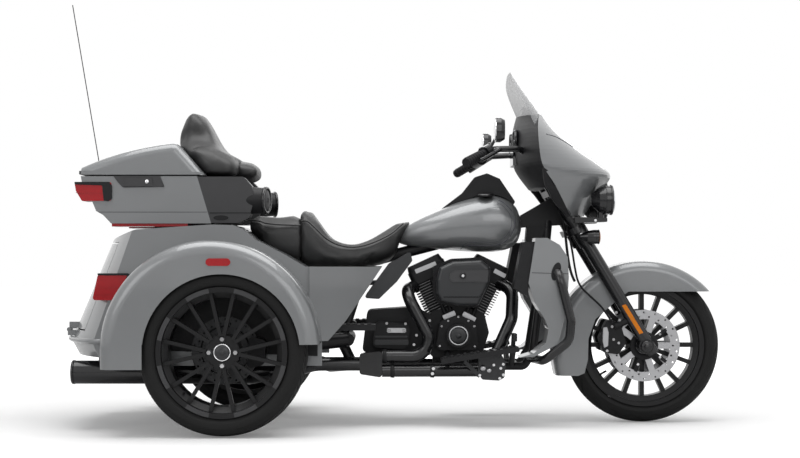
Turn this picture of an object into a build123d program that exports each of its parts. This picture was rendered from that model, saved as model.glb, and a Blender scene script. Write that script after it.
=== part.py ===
from build123d import *
import math
import os

# Motorized three-wheeler, millimetres. +X forward, +Y to the rider's left, +Z up, ground at Z = 0.

# Stance
wheelbase = 1670.0
front_axle_x = 1040.0
rear_axle_x = front_axle_x - wheelbase
rear_track = 1140.0
rear_wheel_y = rear_track / 2

# Clearances
seat_gap = 0.2        # between round faces that seat on each other
tunnel_gap = 0.3      # between the tank's tunnel and the backbone
bearing_gap = 0.3     # round every turning shaft
panel_gap = 5.0       # round doors and lids

# Front wheel
front_tyre_radius = 317.0
front_tyre_width = 130.0
front_tyre_crown = 34.0
front_bead_radius = 241.0
front_bead_width = 100.0
front_hub_radius = 46.0
front_axle_radius = 12.0
front_disc_radius = 146.0
front_disc_y = 77.0
disc_thickness = 6.0
disc_band = 0.74             # inner radius of the braking band, of the disc's
disc_arms = 5
disc_arm_width = 26.0
disc_carrier = 24.0          # width of the ring round the bore
disc_hole_radius = 4.0
disc_hole_rows = (0.81, 0.93)   # radii of the drilled rows, of the disc's
disc_holes = 18
front_hub_half = front_disc_y - disc_thickness / 2
spoke_pairs = 8
front_spoke_split = 20.0     # degrees between the two spokes of a pair
front_spoke_width = 18.0
front_spoke_depth = 44.0

# Rear wheels
rear_tyre_radius = 320.0
rear_tyre_width = 210.0
rear_tyre_crown = 12.0
rear_bead_radius = 238.0
rear_bead_width = 178.0
rear_hub_radius = 66.0
rear_spindle_radius = 28.0
rear_spindle_reach = 34.0    # past the wheel's middle plane
rear_hub_inner = -84.0       # inboard end of the hub, from the wheel's middle plane
rear_hub_outer = 62.0
rear_spoke_width = 14.0
rear_spoke_depth = 26.0
rear_spoke_face = 72.0       # outboard face of the spokes, from the wheel's middle plane
rear_disc_radius = 130.0
rear_disc_offset = -70.0
rim_wall = 10.0
rim_lip = 9.0
rim_lip_width = 8.0
rim_drop = 22.0              # depth of the barrel's middle well
rim_drop_share = (0.76, 0.56)   # half widths of the well's mouth and floor, of the bead's

# Steering and fork
rake = 26.0
trail = 100.0
fork_angle = 31.0
fork_lead = 12.0             # the legs pass this far ahead of the axle
fork_leg_y = 124.0
fork_slider_radius = 26.0
fork_cover_radius = 33.0
fork_slider_top = 730.0
fork_top = 985.0
stem_radius = 19.0
headstock_radius = 34.0
headstock_low = 800.0
headstock_high = 940.0
clamp_thickness = 26.0
clamp_depth = 76.0

# Front fender
fender_radius = 369.0
fender_centre = (1037.0, 294.0)
fender_half_width = 92.0
fender_wall = 4.5
fender_shoulder = 42.0

# Rear bodywork
body_wall = 6.0
trunk_half_width = 440.0
trunk_front_x = -520.0
arch_radius = 295.0
flare_radius = 413.0
flare_centre = (rear_axle_x - 45.0, 330.0)
flare_outer_y = 692.0
flare_shoulder = 52.0
flare_rear_low = 258.0
flare_front_low = 352.0
axle_hole_radius = 140.0
door_half_width = 330.0
door_low = 394.0
door_high = 732.0
door_wall = 14.0
door_hinge_x = -1292.0
door_hinge_z = 388.0
door_hinge_y = 150.0
hinge_knuckle_radius = 8.0
hinge_pin_radius = 4.0
hinge_knuckle_length = 24.0
hinge_lug_length = 14.0

# Top case
case_half_width = 298.0
case_wall = 5.0
case_split_z = 999.0
case_floor_z = 812.0
lid_hinge_y = case_half_width + 10.0
lid_hinge_x = (-1080.0, -860.0)

# Tank and engine
crank_x = 279.0
crank_z = 361.0
crankcase_drop = 92.0
backbone_radius = 24.0
rail_radius = 16.0
rail_y = 118.0
rail_z = 236.0
neck_z = 868.0
seat_post = (-70.0, 0.0, 664.0)
engine_mount_x = (350.0, 200.0)
engine_mount_width = 44.0
lift_pad_z = 216.0           # flat underside of the mount blocks
fin_count = 12
fin_pitch = 11.0
fin_thickness = 4.0

# Exhaust
muffler_y = 330.0
muffler_z = 226.0
muffler_radius = 46.0
muffler_tip_x = -1248.0
muffler_front_x = -470.0
pipe_radius = 25.0
rear_pipe_bend = 60.0
front_pipe_bend = 70.0
tail_radius = 28.0
muffler_socket = 70.0        # how far the tail pipe enters its muffler
muffler_wall = 6.0
muffler_mouth = 120.0        # depth of the open tip

front_axle_z = front_tyre_radius
rear_axle_z = rear_tyre_radius
steer_dir = Vector(-math.sin(math.radians(rake)), 0, math.cos(math.radians(rake)))


def steer_x(z):
    return front_axle_x + trail - z * math.tan(math.radians(rake))


def leg_x(z):
    return front_axle_x + fork_lead - (z - front_axle_z) * math.tan(math.radians(fork_angle))


def pair(solid):
    return solid + mirror(solid, about=Plane.XZ)


def side_prism(points, y_low, y_high, corner=0.0):
    """Prism with its outline drawn in the side view as (X, Z), between two planes of Y."""
    if corner > 0:
        outline = make_face(FilletPolyline(*points, radius=corner, close=True))
    else:
        outline = make_face(Polyline(*points, close=True))
    return Pos(0, y_high, 0) * Rot(90, 0, 0) * extrude(outline, amount=y_high - y_low)


def span_box(low, high):
    size = [b - a for a, b in zip(low, high)]
    middle = [(a + b) / 2 for a, b in zip(low, high)]
    return Pos(*middle) * Box(*size)


def rod(start, end, radius):
    direction = Vector(*end) - Vector(*start)
    return extrude(Plane(origin=start, z_dir=direction) * Circle(radius), amount=direction.length)


def bent_tube(points, radius, bend):
    path = FilletPolyline(*points, radius=bend)
    return sweep(Plane(origin=path @ 0, z_dir=path % 0) * Circle(radius), path=path)


def cross_y(x, y_low, y_high, z, radius):
    return rod((x, y_low, z), (x, y_high, z), radius)


def wheel_frame(x, y, z):
    """Frame of a wheel: local X forward, local Y up, local Z out to the rider's right."""
    return Pos(x, y, z) * Rot(90, 0, 0)


def turned(points):
    """Solid of revolution about local Z from an outline of (radius, height)."""
    return revolve(Plane.XZ * make_face(Polyline(*points, close=True)), axis=Axis.Z)


def ring(outer, inner, z_low, z_high):
    return turned([(inner, z_low), (outer, z_low), (outer, z_high), (inner, z_high)])


def station(x, z_low, z_high, half_width, corner):
    """Rounded cross section of a long piece, square to X."""
    plane = Plane(origin=(x, 0, (z_low + z_high) / 2), x_dir=(0, 1, 0), z_dir=(1, 0, 0))
    return plane * RectangleRounded(2 * half_width, z_high - z_low, corner)


def crescent(z, centre_x, edge_x, half_width, wall):
    """Level cross section of a bowed shell: an arc from edge to edge, as thick as its wall."""
    inner_half = half_width - wall
    outer = ThreePointArc((edge_x, -half_width), (centre_x, 0), (edge_x, half_width))
    inner = ThreePointArc((edge_x, inner_half), (centre_x - wall, 0), (edge_x, -inner_half))
    ends = Line((edge_x, half_width), (edge_x, inner_half)) + Line((edge_x, -inner_half), (edge_x, -half_width))
    return Pos(0, 0, z) * make_face(outer + inner + ends)


# Wheels
def tyre(radius, width, crown, bead_radius, bead_width):
    lip_top = bead_radius + rim_lip + seat_gap
    shoulder = radius - crown
    shoulder_half = 0.43 * width
    bead_half = bead_width / 2
    flank = (lip_top + shoulder) / 2
    edge = Line((bead_radius, -bead_half), (bead_radius, bead_half))
    edge += Line((bead_radius, bead_half), (lip_top, bead_half))
    edge += ThreePointArc((lip_top, bead_half), (flank, width / 2), (shoulder, shoulder_half))
    edge += ThreePointArc((shoulder, shoulder_half), (radius, 0), (shoulder, -shoulder_half))
    edge += ThreePointArc((shoulder, -shoulder_half), (flank, -width / 2), (lip_top, -bead_half))
    edge += Line((lip_top, -bead_half), (bead_radius, -bead_half))
    return revolve(Plane.XZ * make_face(edge), axis=Axis.Z)


def barrel(bead_radius, bead_width):
    seat = bead_radius - seat_gap
    half = bead_width / 2 + seat_gap
    lip = bead_radius + rim_lip
    end = half + rim_lip_width
    inside = seat - rim_wall
    mouth, floor = (half * share for share in rim_drop_share)
    return turned([(inside, -end), (lip, -end), (lip, -half), (seat, -half), (seat, half), (lip, half), (lip, end),
                   (inside, end), (inside, mouth), (inside - rim_drop, floor), (inside - rim_drop, -floor),
                   (inside, -mouth)])


def spoke(start, end, width, z_low, z_high):
    """Straight spoke between two points of the wheel's plane, each as (radius, degrees)."""
    corners = []
    for radius, degrees, side in ((*start, -1), (*start, 1), (*end, 1), (*end, -1)):
        angle = math.radians(degrees)
        run = math.atan2(end[0] * math.sin(math.radians(end[1])) - start[0] * math.sin(math.radians(start[1])),
                         end[0] * math.cos(math.radians(end[1])) - start[0] * math.cos(math.radians(start[1])))
        corners.append((radius * math.cos(angle) - side * width / 2 * math.sin(run),
                        radius * math.sin(angle) + side * width / 2 * math.cos(run)))
    return Pos(0, 0, z_low) * extrude(make_face(Polyline(*corners, close=True)), amount=z_high - z_low)


def front_rim():
    inside = front_bead_radius - seat_gap - rim_wall
    wheel = barrel(front_bead_radius, front_bead_width)
    wheel += ring(front_hub_radius, front_axle_radius + bearing_gap, -front_hub_half, front_hub_half)
    half_depth = front_spoke_depth / 2
    for number in range(spoke_pairs):
        for turn in (0.0, front_spoke_split):
            angle = 90.0 + number * 360.0 / spoke_pairs - turn
            wheel += spoke((front_hub_radius - rim_wall / 2, angle), (inside + rim_wall / 2, angle),
                           front_spoke_width, -half_depth, half_depth)
    return wheel


def rear_rim():
    inside = rear_bead_radius - seat_gap - rim_wall
    root_radius = rear_hub_radius - rim_wall / 2
    wheel = barrel(rear_bead_radius, rear_bead_width)
    hub = ring(rear_hub_radius, rear_spindle_radius + bearing_gap, rear_hub_inner, rear_spindle_reach + bearing_gap)
    hub += ring(rear_hub_radius, 0.0, rear_spindle_reach + bearing_gap, rear_hub_outer)
    wheel += hub
    for number in range(spoke_pairs):
        middle = number * 360.0 / spoke_pairs
        spread = 180.0 / spoke_pairs / 2
        for side in (-1, 1):
            wheel += spoke((root_radius, middle + side * spread / 2), (inside + rim_wall / 2, middle + side * spread),
                           rear_spoke_width, rear_spoke_face - rear_spoke_depth, rear_spoke_face)
    return wheel


def brake_disc(radius, bore, z_middle):
    z_low = z_middle - disc_thickness / 2
    z_high = z_middle + disc_thickness / 2
    disc = ring(radius, radius * disc_band, z_low, z_high)
    disc += ring(bore + disc_carrier, bore, z_low, z_high)
    arm_root = bore + 0.8 * disc_carrier
    arm_end = radius * (disc_band + 0.04)
    for number in range(disc_arms):
        angle = number * 360.0 / disc_arms
        disc += spoke((arm_root, angle), (arm_end, angle), disc_arm_width, z_low, z_high)
    for row, share in enumerate(disc_hole_rows):
        first = row * 180.0 / disc_holes
        places = PolarLocations(radius * share, disc_holes, start_angle=first)
        disc -= [Pos(0, 0, z_middle) * place * Cylinder(disc_hole_radius, 2 * disc_thickness) for place in places]
    return disc


# Fork and steering
def fork_line(z, y):
    return (leg_x(z), y, z)


def fork_legs():
    leg = rod(fork_line(front_axle_z - 30.0, -fork_leg_y), fork_line(fork_slider_top, -fork_leg_y), fork_slider_radius)
    leg += rod(fork_line(fork_slider_top, -fork_leg_y), fork_line(fork_top, -fork_leg_y), fork_cover_radius)
    leg += cross_y(front_axle_x, -fork_leg_y - fork_slider_radius, -fork_leg_y + fork_slider_radius, front_axle_z, 30.0)
    return pair(leg)


def steer_plate(z, thickness, half_width, depth, corner):
    plane = Plane(origin=(steer_x(z), 0, z), x_dir=(0, 1, 0), z_dir=steer_dir)
    return extrude(plane * RectangleRounded(2 * half_width, depth, corner), amount=thickness)


def triple_clamps():
    reach = fork_leg_y + fork_cover_radius + 4.0
    corner = clamp_depth * 0.48
    stem_rise = math.cos(math.radians(rake))
    low_z = headstock_low - (clamp_thickness + bearing_gap) * stem_rise
    high_z = headstock_high + bearing_gap * stem_rise
    clamps = steer_plate(low_z, clamp_thickness, reach, clamp_depth, corner)
    clamps += steer_plate(high_z, clamp_thickness, reach, clamp_depth, corner)
    stem = Plane(origin=(steer_x(low_z), 0, low_z), z_dir=steer_dir)
    clamps += extrude(stem * Circle(stem_radius), amount=(high_z - low_z) / stem_rise + clamp_thickness)
    return clamps


def front_axle():
    reach = fork_leg_y + fork_slider_radius + 8.0
    axle = cross_y(front_axle_x, -reach, reach, front_axle_z, front_axle_radius)
    spacer_in = front_hub_half + bearing_gap
    spacer_out = fork_leg_y - fork_slider_radius
    return axle + pair(cross_y(front_axle_x, -spacer_out, -spacer_in, front_axle_z, front_axle_radius + 8.0))


def front_fender():
    drum = Cylinder(fender_radius, 2 * fender_half_width)
    drum = fillet(drum.edges().filter_by(GeomType.CIRCLE), fender_shoulder)
    inner = Cylinder(fender_radius - fender_wall, 2 * (fender_half_width - fender_wall))
    inner = fillet(inner.edges().filter_by(GeomType.CIRCLE), fender_shoulder - fender_wall)
    shell = wheel_frame(fender_centre[0], 0, fender_centre[1]) * (drum - inner)
    skirt_z = 538.0
    far = fender_radius * 1.2
    keep = [(fender_centre[0] + far, skirt_z), (975.0, skirt_z), (908.0, 485.0), (840.0, 425.0), (812.0, 345.0),
            (810.0, 262.0), (796.0, 205.0), (770.0, 194.0), (fender_centre[0] - far, 194.0),
            (fender_centre[0] - far, fender_centre[1] + far), (fender_centre[0] + far, fender_centre[1] + far)]
    shell = shell & side_prism(keep, -far, far)
    boss_z = 600.0
    boss = cross_y(leg_x(boss_z), -fork_leg_y, -fender_half_width + fender_wall / 2, boss_z, 14.0)
    return shell + pair(boss)


# Level sections of the fairing: z, nose x, edge x, half width
fairing_sections = [
    (1255.0, 640.0, 602.0, 165.0),
    (1193.0, 690.0, 588.0, 292.0),
    (1121.0, 776.0, 586.0, 362.0),
    (1054.0, 868.0, 594.0, 380.0),
    (1011.0, 910.0, 616.0, 366.0),
    (959.0, 880.0, 655.0, 325.0),
    (845.0, 800.0, 728.0, 190.0),
]
fairing_wall = 6.0
fairing_bulge = 78.0       # how far the inner panel stands behind the fairing's edge
windshield_wall = 4.5
section_steps = 4

# Level sections of the windshield: z, centre x, edge x, half width
windshield_sections = [
    (1205.0, 664.0, 578.0, 262.0),
    (1300.0, 601.0, 533.0, 250.0),
    (1380.0, 547.0, 498.0, 200.0),
    (1428.0, 514.0, 493.0, 128.0),
    (1443.0, 504.0, 497.0, 66.0),
]


def between(rows, steps):
    """Rows of a section table with smooth steps put in between them."""
    dense = []
    last = len(rows) - 1
    for number in range(last):
        before, start = rows[max(number - 1, 0)], rows[number]
        end, after = rows[number + 1], rows[min(number + 2, last)]
        for step in range(steps):
            t = step / steps
            row = []
            for a, b, c, d in zip(before, start, end, after):
                row.append(b + 0.5 * t * (c - a + t * (2 * a - 5 * b + 4 * c - d + t * (3 * (b - c) + d - a))))
            dense.append(tuple(row))
    return dense + [rows[-1]]


def fairing_outer():
    return loft([crescent(*row, fairing_wall) for row in between(fairing_sections, section_steps)], ruled=True)


def fairing_inner():
    """Dash panel that closes the back of the fairing, bowed towards the rider."""
    faces = []
    for z, nose_x, edge_x, half_width in between(fairing_sections[:-1], section_steps):
        front = Line((edge_x, half_width), (edge_x, -half_width))
        back = ThreePointArc((edge_x, -half_width), (edge_x - fairing_bulge, 0), (edge_x, half_width))
        faces.append(Pos(0, 0, z) * make_face(front + back))
    return loft(faces, ruled=True)


def windshield():
    return loft([crescent(*row, windshield_wall) for row in between(windshield_sections, section_steps)], ruled=True)


headlamp_z = 915.0
headlamp_radius = 88.0
headlamp_face_x = 884.0
headlamp_depth = 104.0
passing_lamp_y = 190.0
passing_lamp_z = 908.0
passing_lamp_radius = 58.0
passing_lamp_face_x = 890.0
passing_lamp_depth = 80.0
light_bar_z = 830.0
signal_y = 176.0
signal_z = 760.0
signal_radius = 28.0
signal_face_x = 842.0
signal_length = 74.0


def lamp_bowl(face_x, y, z, radius, depth):
    """Round lamp facing forward, its back drawn in to a small boss."""
    bowl = turned([(0, 0), (radius, 0), (radius, depth * 0.3), (radius * 0.85, depth * 0.62),
                   (radius * 0.35, depth), (0, depth)])
    return Pos(face_x, y, z) * Rot(0, -90, 0) * bowl


def headlamp():
    return lamp_bowl(headlamp_face_x, 0, headlamp_z, headlamp_radius, headlamp_depth)


def passing_lamps():
    lamp = lamp_bowl(passing_lamp_face_x, -passing_lamp_y, passing_lamp_z, passing_lamp_radius, passing_lamp_depth)
    stem_x = passing_lamp_face_x - passing_lamp_depth / 2
    lamp += rod((stem_x, -passing_lamp_y, light_bar_z), (stem_x, -passing_lamp_y, passing_lamp_z), 12.0)
    lamps = pair(lamp)
    arm_back = leg_x(light_bar_z)
    arm = side_prism([(arm_back, light_bar_z - 14.0), (stem_x + 24.0, light_bar_z - 10.0),
                      (stem_x + 24.0, light_bar_z + 6.0), (arm_back, light_bar_z + 10.0)],
                     -passing_lamp_y - 16.0, -fork_leg_y, 4.0)
    return lamps + pair(arm)


def turn_signals():
    body = lamp_bowl(signal_face_x, -signal_y, signal_z, signal_radius, signal_length)
    stem_z = signal_z
    body += rod((leg_x(stem_z), -fork_leg_y, stem_z), (leg_x(stem_z) + 12.0, -signal_y, stem_z), 9.0)
    return pair(body)


# Right half of the handlebar from its middle to the end of the grip
bar_points = [(655.0, 0.0, 1032.0), (655.0, -92.0, 1032.0), (520.0, -222.0, 1112.0), (410.0, -262.0, 1108.0),
              (300.0, -430.0, 1047.0)]
bar_radius = 12.7
bar_bend = 55.0
grip_length = 135.0
grip_radius = 18.0
mirror_centre = (419.0, -420.0, 1172.0)
mirror_half_width = 62.0
mirror_half_height = 46.0
mirror_corner = 38.0


def handlebar():
    left = [(x, -y, z) for x, y, z in reversed(bar_points[1:])]
    bar = bent_tube(left + bar_points[1:], bar_radius, bar_bend)
    riser_x, _, riser_z = bar_points[0]
    low_z = headstock_high + 12.0
    riser = rod((steer_x(low_z), -46.0, low_z), (riser_x, -46.0, riser_z), 20.0)
    return bar + pair(riser)


def along_grip(distance):
    end = Vector(*bar_points[-1])
    step = (Vector(*bar_points[-2]) - end).normalized()
    return end + step * distance


def grips():
    start = along_grip(-8.0)
    end = along_grip(grip_length)
    grip = rod(tuple(start), tuple(end), grip_radius)
    return pair(grip)


def hand_levers():
    """Switch housing on the bar, with the lever that hangs ahead of the grip."""
    near = along_grip(grip_length + 0.5)
    far = along_grip(grip_length + 46.0)
    housing = rod(tuple(near), tuple(far), 27.0)
    root = along_grip(grip_length + 30.0) + Vector(52.0, 0, 10.0)
    tip = along_grip(14.0) + Vector(46.0, 0, 2.0)
    housing += rod(tuple(along_grip(grip_length + 30.0)), tuple(root), 10.0)
    lever = rod(tuple(root), tuple(tip), 8.0)
    return pair(housing + lever)


def mirrors():
    x, y, z = mirror_centre
    plane = Plane(origin=(x + 12.0, y, z), x_dir=(0, 1, 0), z_dir=(1, 0, 0))
    oval = RectangleRounded(2 * mirror_half_width, 2 * mirror_half_height, mirror_corner)
    back = extrude(plane * oval, amount=14.0, taper=30.0)
    rim = extrude(plane * oval, amount=-20.0)
    root = along_grip(grip_length + 38.0)
    stem_x = x + 22.0
    stem = bent_tube([tuple(root), (root.X + 40.0, root.Y, z - 4.0), (stem_x, y + 20.0, z)], 6.0, 22.0)
    return pair(back + rim + stem)


def brake_calipers():
    outer_y = fork_leg_y - fork_slider_radius + 20.0
    body = side_prism([(868.0, 292.0), (930.0, 282.0), (962.0, 330.0), (938.0, 412.0), (884.0, 424.0), (852.0, 352.0)],
                      -outer_y, -front_disc_y + 22.0, 14.0)
    slot = wheel_frame(front_axle_x, -front_disc_y, front_axle_z) * Cylinder(front_disc_radius + panel_gap,
                                                                            disc_thickness + 2 * panel_gap)
    arm = rod((915.0, -fork_leg_y, 396.0), (leg_x(430.0), -fork_leg_y, 430.0), 13.0)
    return pair((body + arm) - slot)


# Frame and running gear
def headstock():
    plane = Plane(origin=(steer_x(headstock_low), 0, headstock_low), z_dir=steer_dir)
    length = (headstock_high - headstock_low) / math.cos(math.radians(rake))
    tube = extrude(plane * Circle(headstock_radius), amount=length)
    bore = extrude(plane * Circle(stem_radius + bearing_gap), amount=length)
    return tube, bore


def frame():
    tube, bore = headstock()
    main = rod((steer_x(neck_z), 0, neck_z), seat_post, backbone_radius)
    gusset = side_prism([(steer_x(935.0) - 6.0, 930.0), (steer_x(820.0) - 6.0, 812.0), (545.0, 800.0), (540.0, 850.0)],
                        -26.0, 26.0)
    rail = bent_tube([(656.0, -14.0, 824.0), (640.0, -60.0, 700.0), (584.0, -rail_y, 300.0),
                      (548.0, -rail_y, rail_z), (-150.0, -rail_y, rail_z), (-196.0, -rail_y, 330.0),
                      (-96.0, -70.0, 640.0), (seat_post[0] + 10.0, 0.0, seat_post[2])], rail_radius, 26.0)
    cross = [cross_y(x, -rail_y, rail_y, rail_z, rail_radius * 0.8) for x in (520.0, *engine_mount_x, -140.0)]
    half = engine_mount_width / 2
    cross += [span_box((x - half, -half, lift_pad_z), (x + half, half, crank_z - crankcase_drop)) for x in engine_mount_x]
    tail = bent_tube([(-150.0, -rail_y, 470.0), (-300.0, -170.0, 560.0), (trunk_front_x - 2.0, -170.0, 560.0)],
                     rail_radius, 40.0)
    body = tube + main + gusset + pair(rail)
    for piece in cross:
        body += piece
    body += pair(tail)
    return body - bore


def swingarm():
    arm = bent_tube([(-168.0, -150.0, 345.0), (-330.0, -185.0, 330.0), (rear_axle_x + 36.0, -185.0, rear_axle_z)],
                    30.0, 80.0)
    return pair(arm) + cross_y(-168.0, -172.0, 172.0, 345.0, 26.0)


def rear_axle():
    housing = cross_y(rear_axle_x, -446.0, 446.0, rear_axle_z, 38.0)
    belly = Pos(rear_axle_x, 0, rear_axle_z) * Sphere(108.0)
    flange = cross_y(rear_axle_x, -456.0, -440.0, rear_axle_z, 66.0)
    spindle_end = rear_wheel_y + rear_spindle_reach
    spindle = cross_y(rear_axle_x, -spindle_end, -440.0, rear_axle_z, rear_spindle_radius)
    return housing + belly + pair(flange + spindle)


def rear_calipers():
    wheel = (rear_axle_x, -rear_wheel_y, rear_axle_z)
    disc_y = -rear_wheel_y - rear_disc_offset
    body = side_prism([(rear_axle_x + 84.0, rear_axle_z - 70.0), (rear_axle_x + 150.0, rear_axle_z - 52.0),
                       (rear_axle_x + 158.0, rear_axle_z + 40.0), (rear_axle_x + 92.0, rear_axle_z + 58.0)],
                      disc_y - 30.0, disc_y + 52.0, 16.0)
    slot = wheel_frame(rear_axle_x, disc_y, rear_axle_z) * Cylinder(rear_disc_radius + panel_gap,
                                                                   disc_thickness + 2 * panel_gap)
    arm = rod((rear_axle_x + 40.0, -448.0, rear_axle_z), (rear_axle_x + 120.0, -454.0, rear_axle_z), 8.0)
    return pair(body - slot + arm)


def shocks():
    low = (-420.0, -240.0, 328.0)
    high = (-360.0, -240.0, 560.0)
    shock = rod(low, high, 20.0)
    shock += cross_y(low[0], low[1] - 24.0, -180.0, low[2], 10.0)
    shock += cross_y(high[0], high[1] - 24.0, -166.0, high[2], 10.0)
    return pair(shock)


# Engine
cylinder_tilts = {"rear": -25.0, "front": 26.0}
vee_gap = 1.5


def cylinder_frame(tilt):
    return Plane(origin=(crank_x, 0, crank_z), x_dir=(math.cos(math.radians(tilt)), 0, -math.sin(math.radians(tilt))),
                 z_dir=(math.sin(math.radians(tilt)), 0, math.cos(math.radians(tilt))))


case_top = 118.0          # from the crank's centre along a cylinder
head_low = case_top + fin_count * fin_pitch + 6.0
head_high = head_low + 52.0
rocker_high = head_high + 26.0


def vee_half(tilt):
    """Half space on a cylinder's own side of the plane that halves the vee."""
    far = 900.0
    middle = sum(cylinder_tilts.values()) / len(cylinder_tilts)
    place = Pos(crank_x, 0, crank_z) * Rot(0, middle, 0)
    side = 1.0 if tilt > middle else -1.0
    return place * Pos(side * (far / 2 + vee_gap), 0, 0) * Box(far, far, 2 * far)


def engine_cylinder(tilt):
    place = cylinder_frame(tilt)
    column = extrude(place * Pos(0, 0, case_top) * Circle(56.0), amount=head_low - case_top)
    for number in range(fin_count):
        low = case_top + 8.0 + number * fin_pitch
        column += extrude(place * Pos(0, 0, low) * RectangleRounded(162.0, 156.0, 34.0), amount=fin_thickness)
    column += extrude(place * Pos(0, 0, head_low) * RectangleRounded(158.0, 166.0, 20.0), amount=head_high - head_low)
    return column & vee_half(tilt)


def rocker_covers():
    covers = None
    for tilt in cylinder_tilts.values():
        place = cylinder_frame(tilt)
        cover = extrude(place * Pos(0, 0, head_high) * RectangleRounded(152.0, 160.0, 26.0),
                        amount=rocker_high - head_high, taper=14.0)
        covers = cover if covers is None else covers + cover
    return covers


def crankcase():
    block = side_prism([(crank_x - 110.0, crank_z - crankcase_drop), (crank_x + 96.0, crank_z - crankcase_drop),
                        (crank_x + 128.0, crank_z + 10.0), (crank_x + 108.0, crank_z + 90.0), (crank_x, crank_z + 120.0),
                        (crank_x - 108.0, crank_z + 98.0), (crank_x - 128.0, crank_z)], -84.0, 88.0, 22.0)
    for tilt in cylinder_tilts.values():
        block += extrude(cylinder_frame(tilt) * Pos(0, 0, case_top - 46.0) * RectangleRounded(146.0, 150.0, 30.0),
                         amount=46.0)
    return block


def cam_cover():
    cover = side_prism([(crank_x - 92.0, crank_z - 60.0), (crank_x + 84.0, crank_z - 60.0),
                        (crank_x + 70.0, crank_z + 56.0), (crank_x, crank_z + 84.0), (crank_x - 74.0, crank_z + 56.0)],
                       -128.0, -84.0, 24.0)
    return cover + cross_y(crank_x, -160.0, -120.0, crank_z, 48.0)


def primary_cover():
    return side_prism([(crank_x + 96.0, crank_z - 76.0), (crank_x + 130.0, crank_z), (crank_x + 92.0, crank_z + 88.0),
                       (crank_x - 300.0, crank_z + 74.0), (crank_x - 350.0, crank_z - 10.0),
                       (crank_x - 300.0, crank_z - 84.0)], 88.0, 172.0, 44.0)


def transmission():
    box = side_prism([(-112.0, 290.0), (174.0, 276.0), (174.0, 440.0), (100.0, 476.0), (-90.0, 462.0)], -96.0, 86.0, 20.0)
    cover = side_prism([(-70.0, 312.0), (70.0, 304.0), (86.0, 404.0), (-56.0, 420.0)], -128.0, -96.0, 22.0)
    return box + cover


def air_cleaner():
    outline = [(202.0, 637.0), (255.0, 661.0), (370.0, 667.0), (405.0, 637.0), (402.0, 581.0), (358.0, 484.0),
               (275.0, 484.0), (205.0, 501.0), (189.0, 531.0), (189.0, 588.0)]
    cover = side_prism(outline, -214.0, -118.0, 10.0)
    cover = fillet(cover.faces().sort_by(Axis.Y)[0].edges(), 18.0)
    snout = side_prism([(262.0, 552.0), (322.0, 552.0), (322.0, 612.0), (262.0, 612.0)], -118.0, -20.0, 12.0)
    return cover + snout


def exhaust_pipes():
    rear = bent_tube([(104.0, -60.0, 560.0), (70.0, -150.0, 545.0), (84.0, -188.0, 500.0), (160.0, -190.0, 360.0),
                      (140.0, -190.0, 280.0), (-30.0, -192.0, 280.0)], pipe_radius, rear_pipe_bend)
    front = bent_tube([(446.0, -60.0, 572.0), (502.0, -104.0, 546.0), (494.0, -150.0, 430.0), (400.0, -170.0, 222.0),
                       (-30.0, -192.0, 222.0)], pipe_radius, front_pipe_bend)
    joint = side_prism([(-30.0, 196.0), (-30.0, 302.0), (-120.0, 292.0), (-120.0, 210.0)], -222.0, -162.0, 12.0)
    tail = bent_tube([(-100.0, -192.0, 250.0), (-300.0, -200.0, 250.0), (-400.0, -muffler_y, muffler_z),
                      (muffler_front_x - muffler_socket, -muffler_y, muffler_z)], tail_radius, 60.0)
    left = bent_tube([(-170.0, -192.0, 250.0), (-240.0, -60.0, 236.0), (-300.0, 150.0, 236.0),
                      (-400.0, muffler_y, muffler_z), (muffler_front_x - muffler_socket, muffler_y, muffler_z)],
                     tail_radius, 50.0)
    return rear + front + joint + tail + left


def muffler(y):
    length = muffler_front_x - muffler_tip_x
    bore = muffler_radius - muffler_wall
    socket = tail_radius + seat_gap
    outline = [(bore, 0), (muffler_radius, 0), (muffler_radius, length - muffler_socket), (socket + muffler_wall, length),
               (socket, length), (socket, length - muffler_socket), (0, length - muffler_socket),
               (0, muffler_mouth), (bore, muffler_mouth)]
    return Pos(muffler_tip_x, y, muffler_z) * Rot(0, 90, 0) * turned(outline)


# Tank: x, low z, high z, half width, corner
tank_sections = [
    (36.0, 748.0, 776.0, 26.0, 12.0),
    (110.0, 726.0, 806.0, 88.0, 34.0),
    (260.0, 707.0, 880.0, 140.0, 68.0),
    (410.0, 699.0, 936.0, 152.0, 84.0),
    (495.0, 708.0, 906.0, 138.0, 80.0),
    (540.0, 762.0, 832.0, 66.0, 32.0),
]


def fuel_tank():
    tank = loft([station(*row) for row in tank_sections])
    half = backbone_radius + tunnel_gap
    ends = (Vector(*seat_post), Vector(steer_x(neck_z), 0, neck_z))
    slope = (ends[1] - ends[0]).normalized()
    rise = half / slope.X
    tunnel = side_prism([(ends[0].X, 0.0), (ends[1].X, 0.0), (ends[1].X, ends[1].Z + rise),
                         (ends[0].X, ends[0].Z + rise)], -half, half)
    return tank - tunnel


def tank_console():
    """Hump over the tank's middle with the instruments' stalk, narrowing to the seat."""
    outline = [(120.0, 800.0), (165.0, 840.0), (300.0, 942.0), (350.0, 1006.0), (400.0, 1022.0), (452.0, 1000.0),
               (516.0, 905.0), (500.0, 880.0), (300.0, 850.0)]
    return side_prism(outline, -58.0, 58.0, 8.0)


def side_covers():
    outline = [(84.0, 702.0), (-2.0, 652.0), (-104.0, 514.0), (-42.0, 510.0), (30.0, 580.0), (92.0, 664.0)]
    peg = rod((-119.0, -81.0, 570.0), (-40.0, -160.0, 575.0), 8.0)
    return pair(side_prism(outline, -196.0, -150.0, 8.0) + peg)


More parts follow.
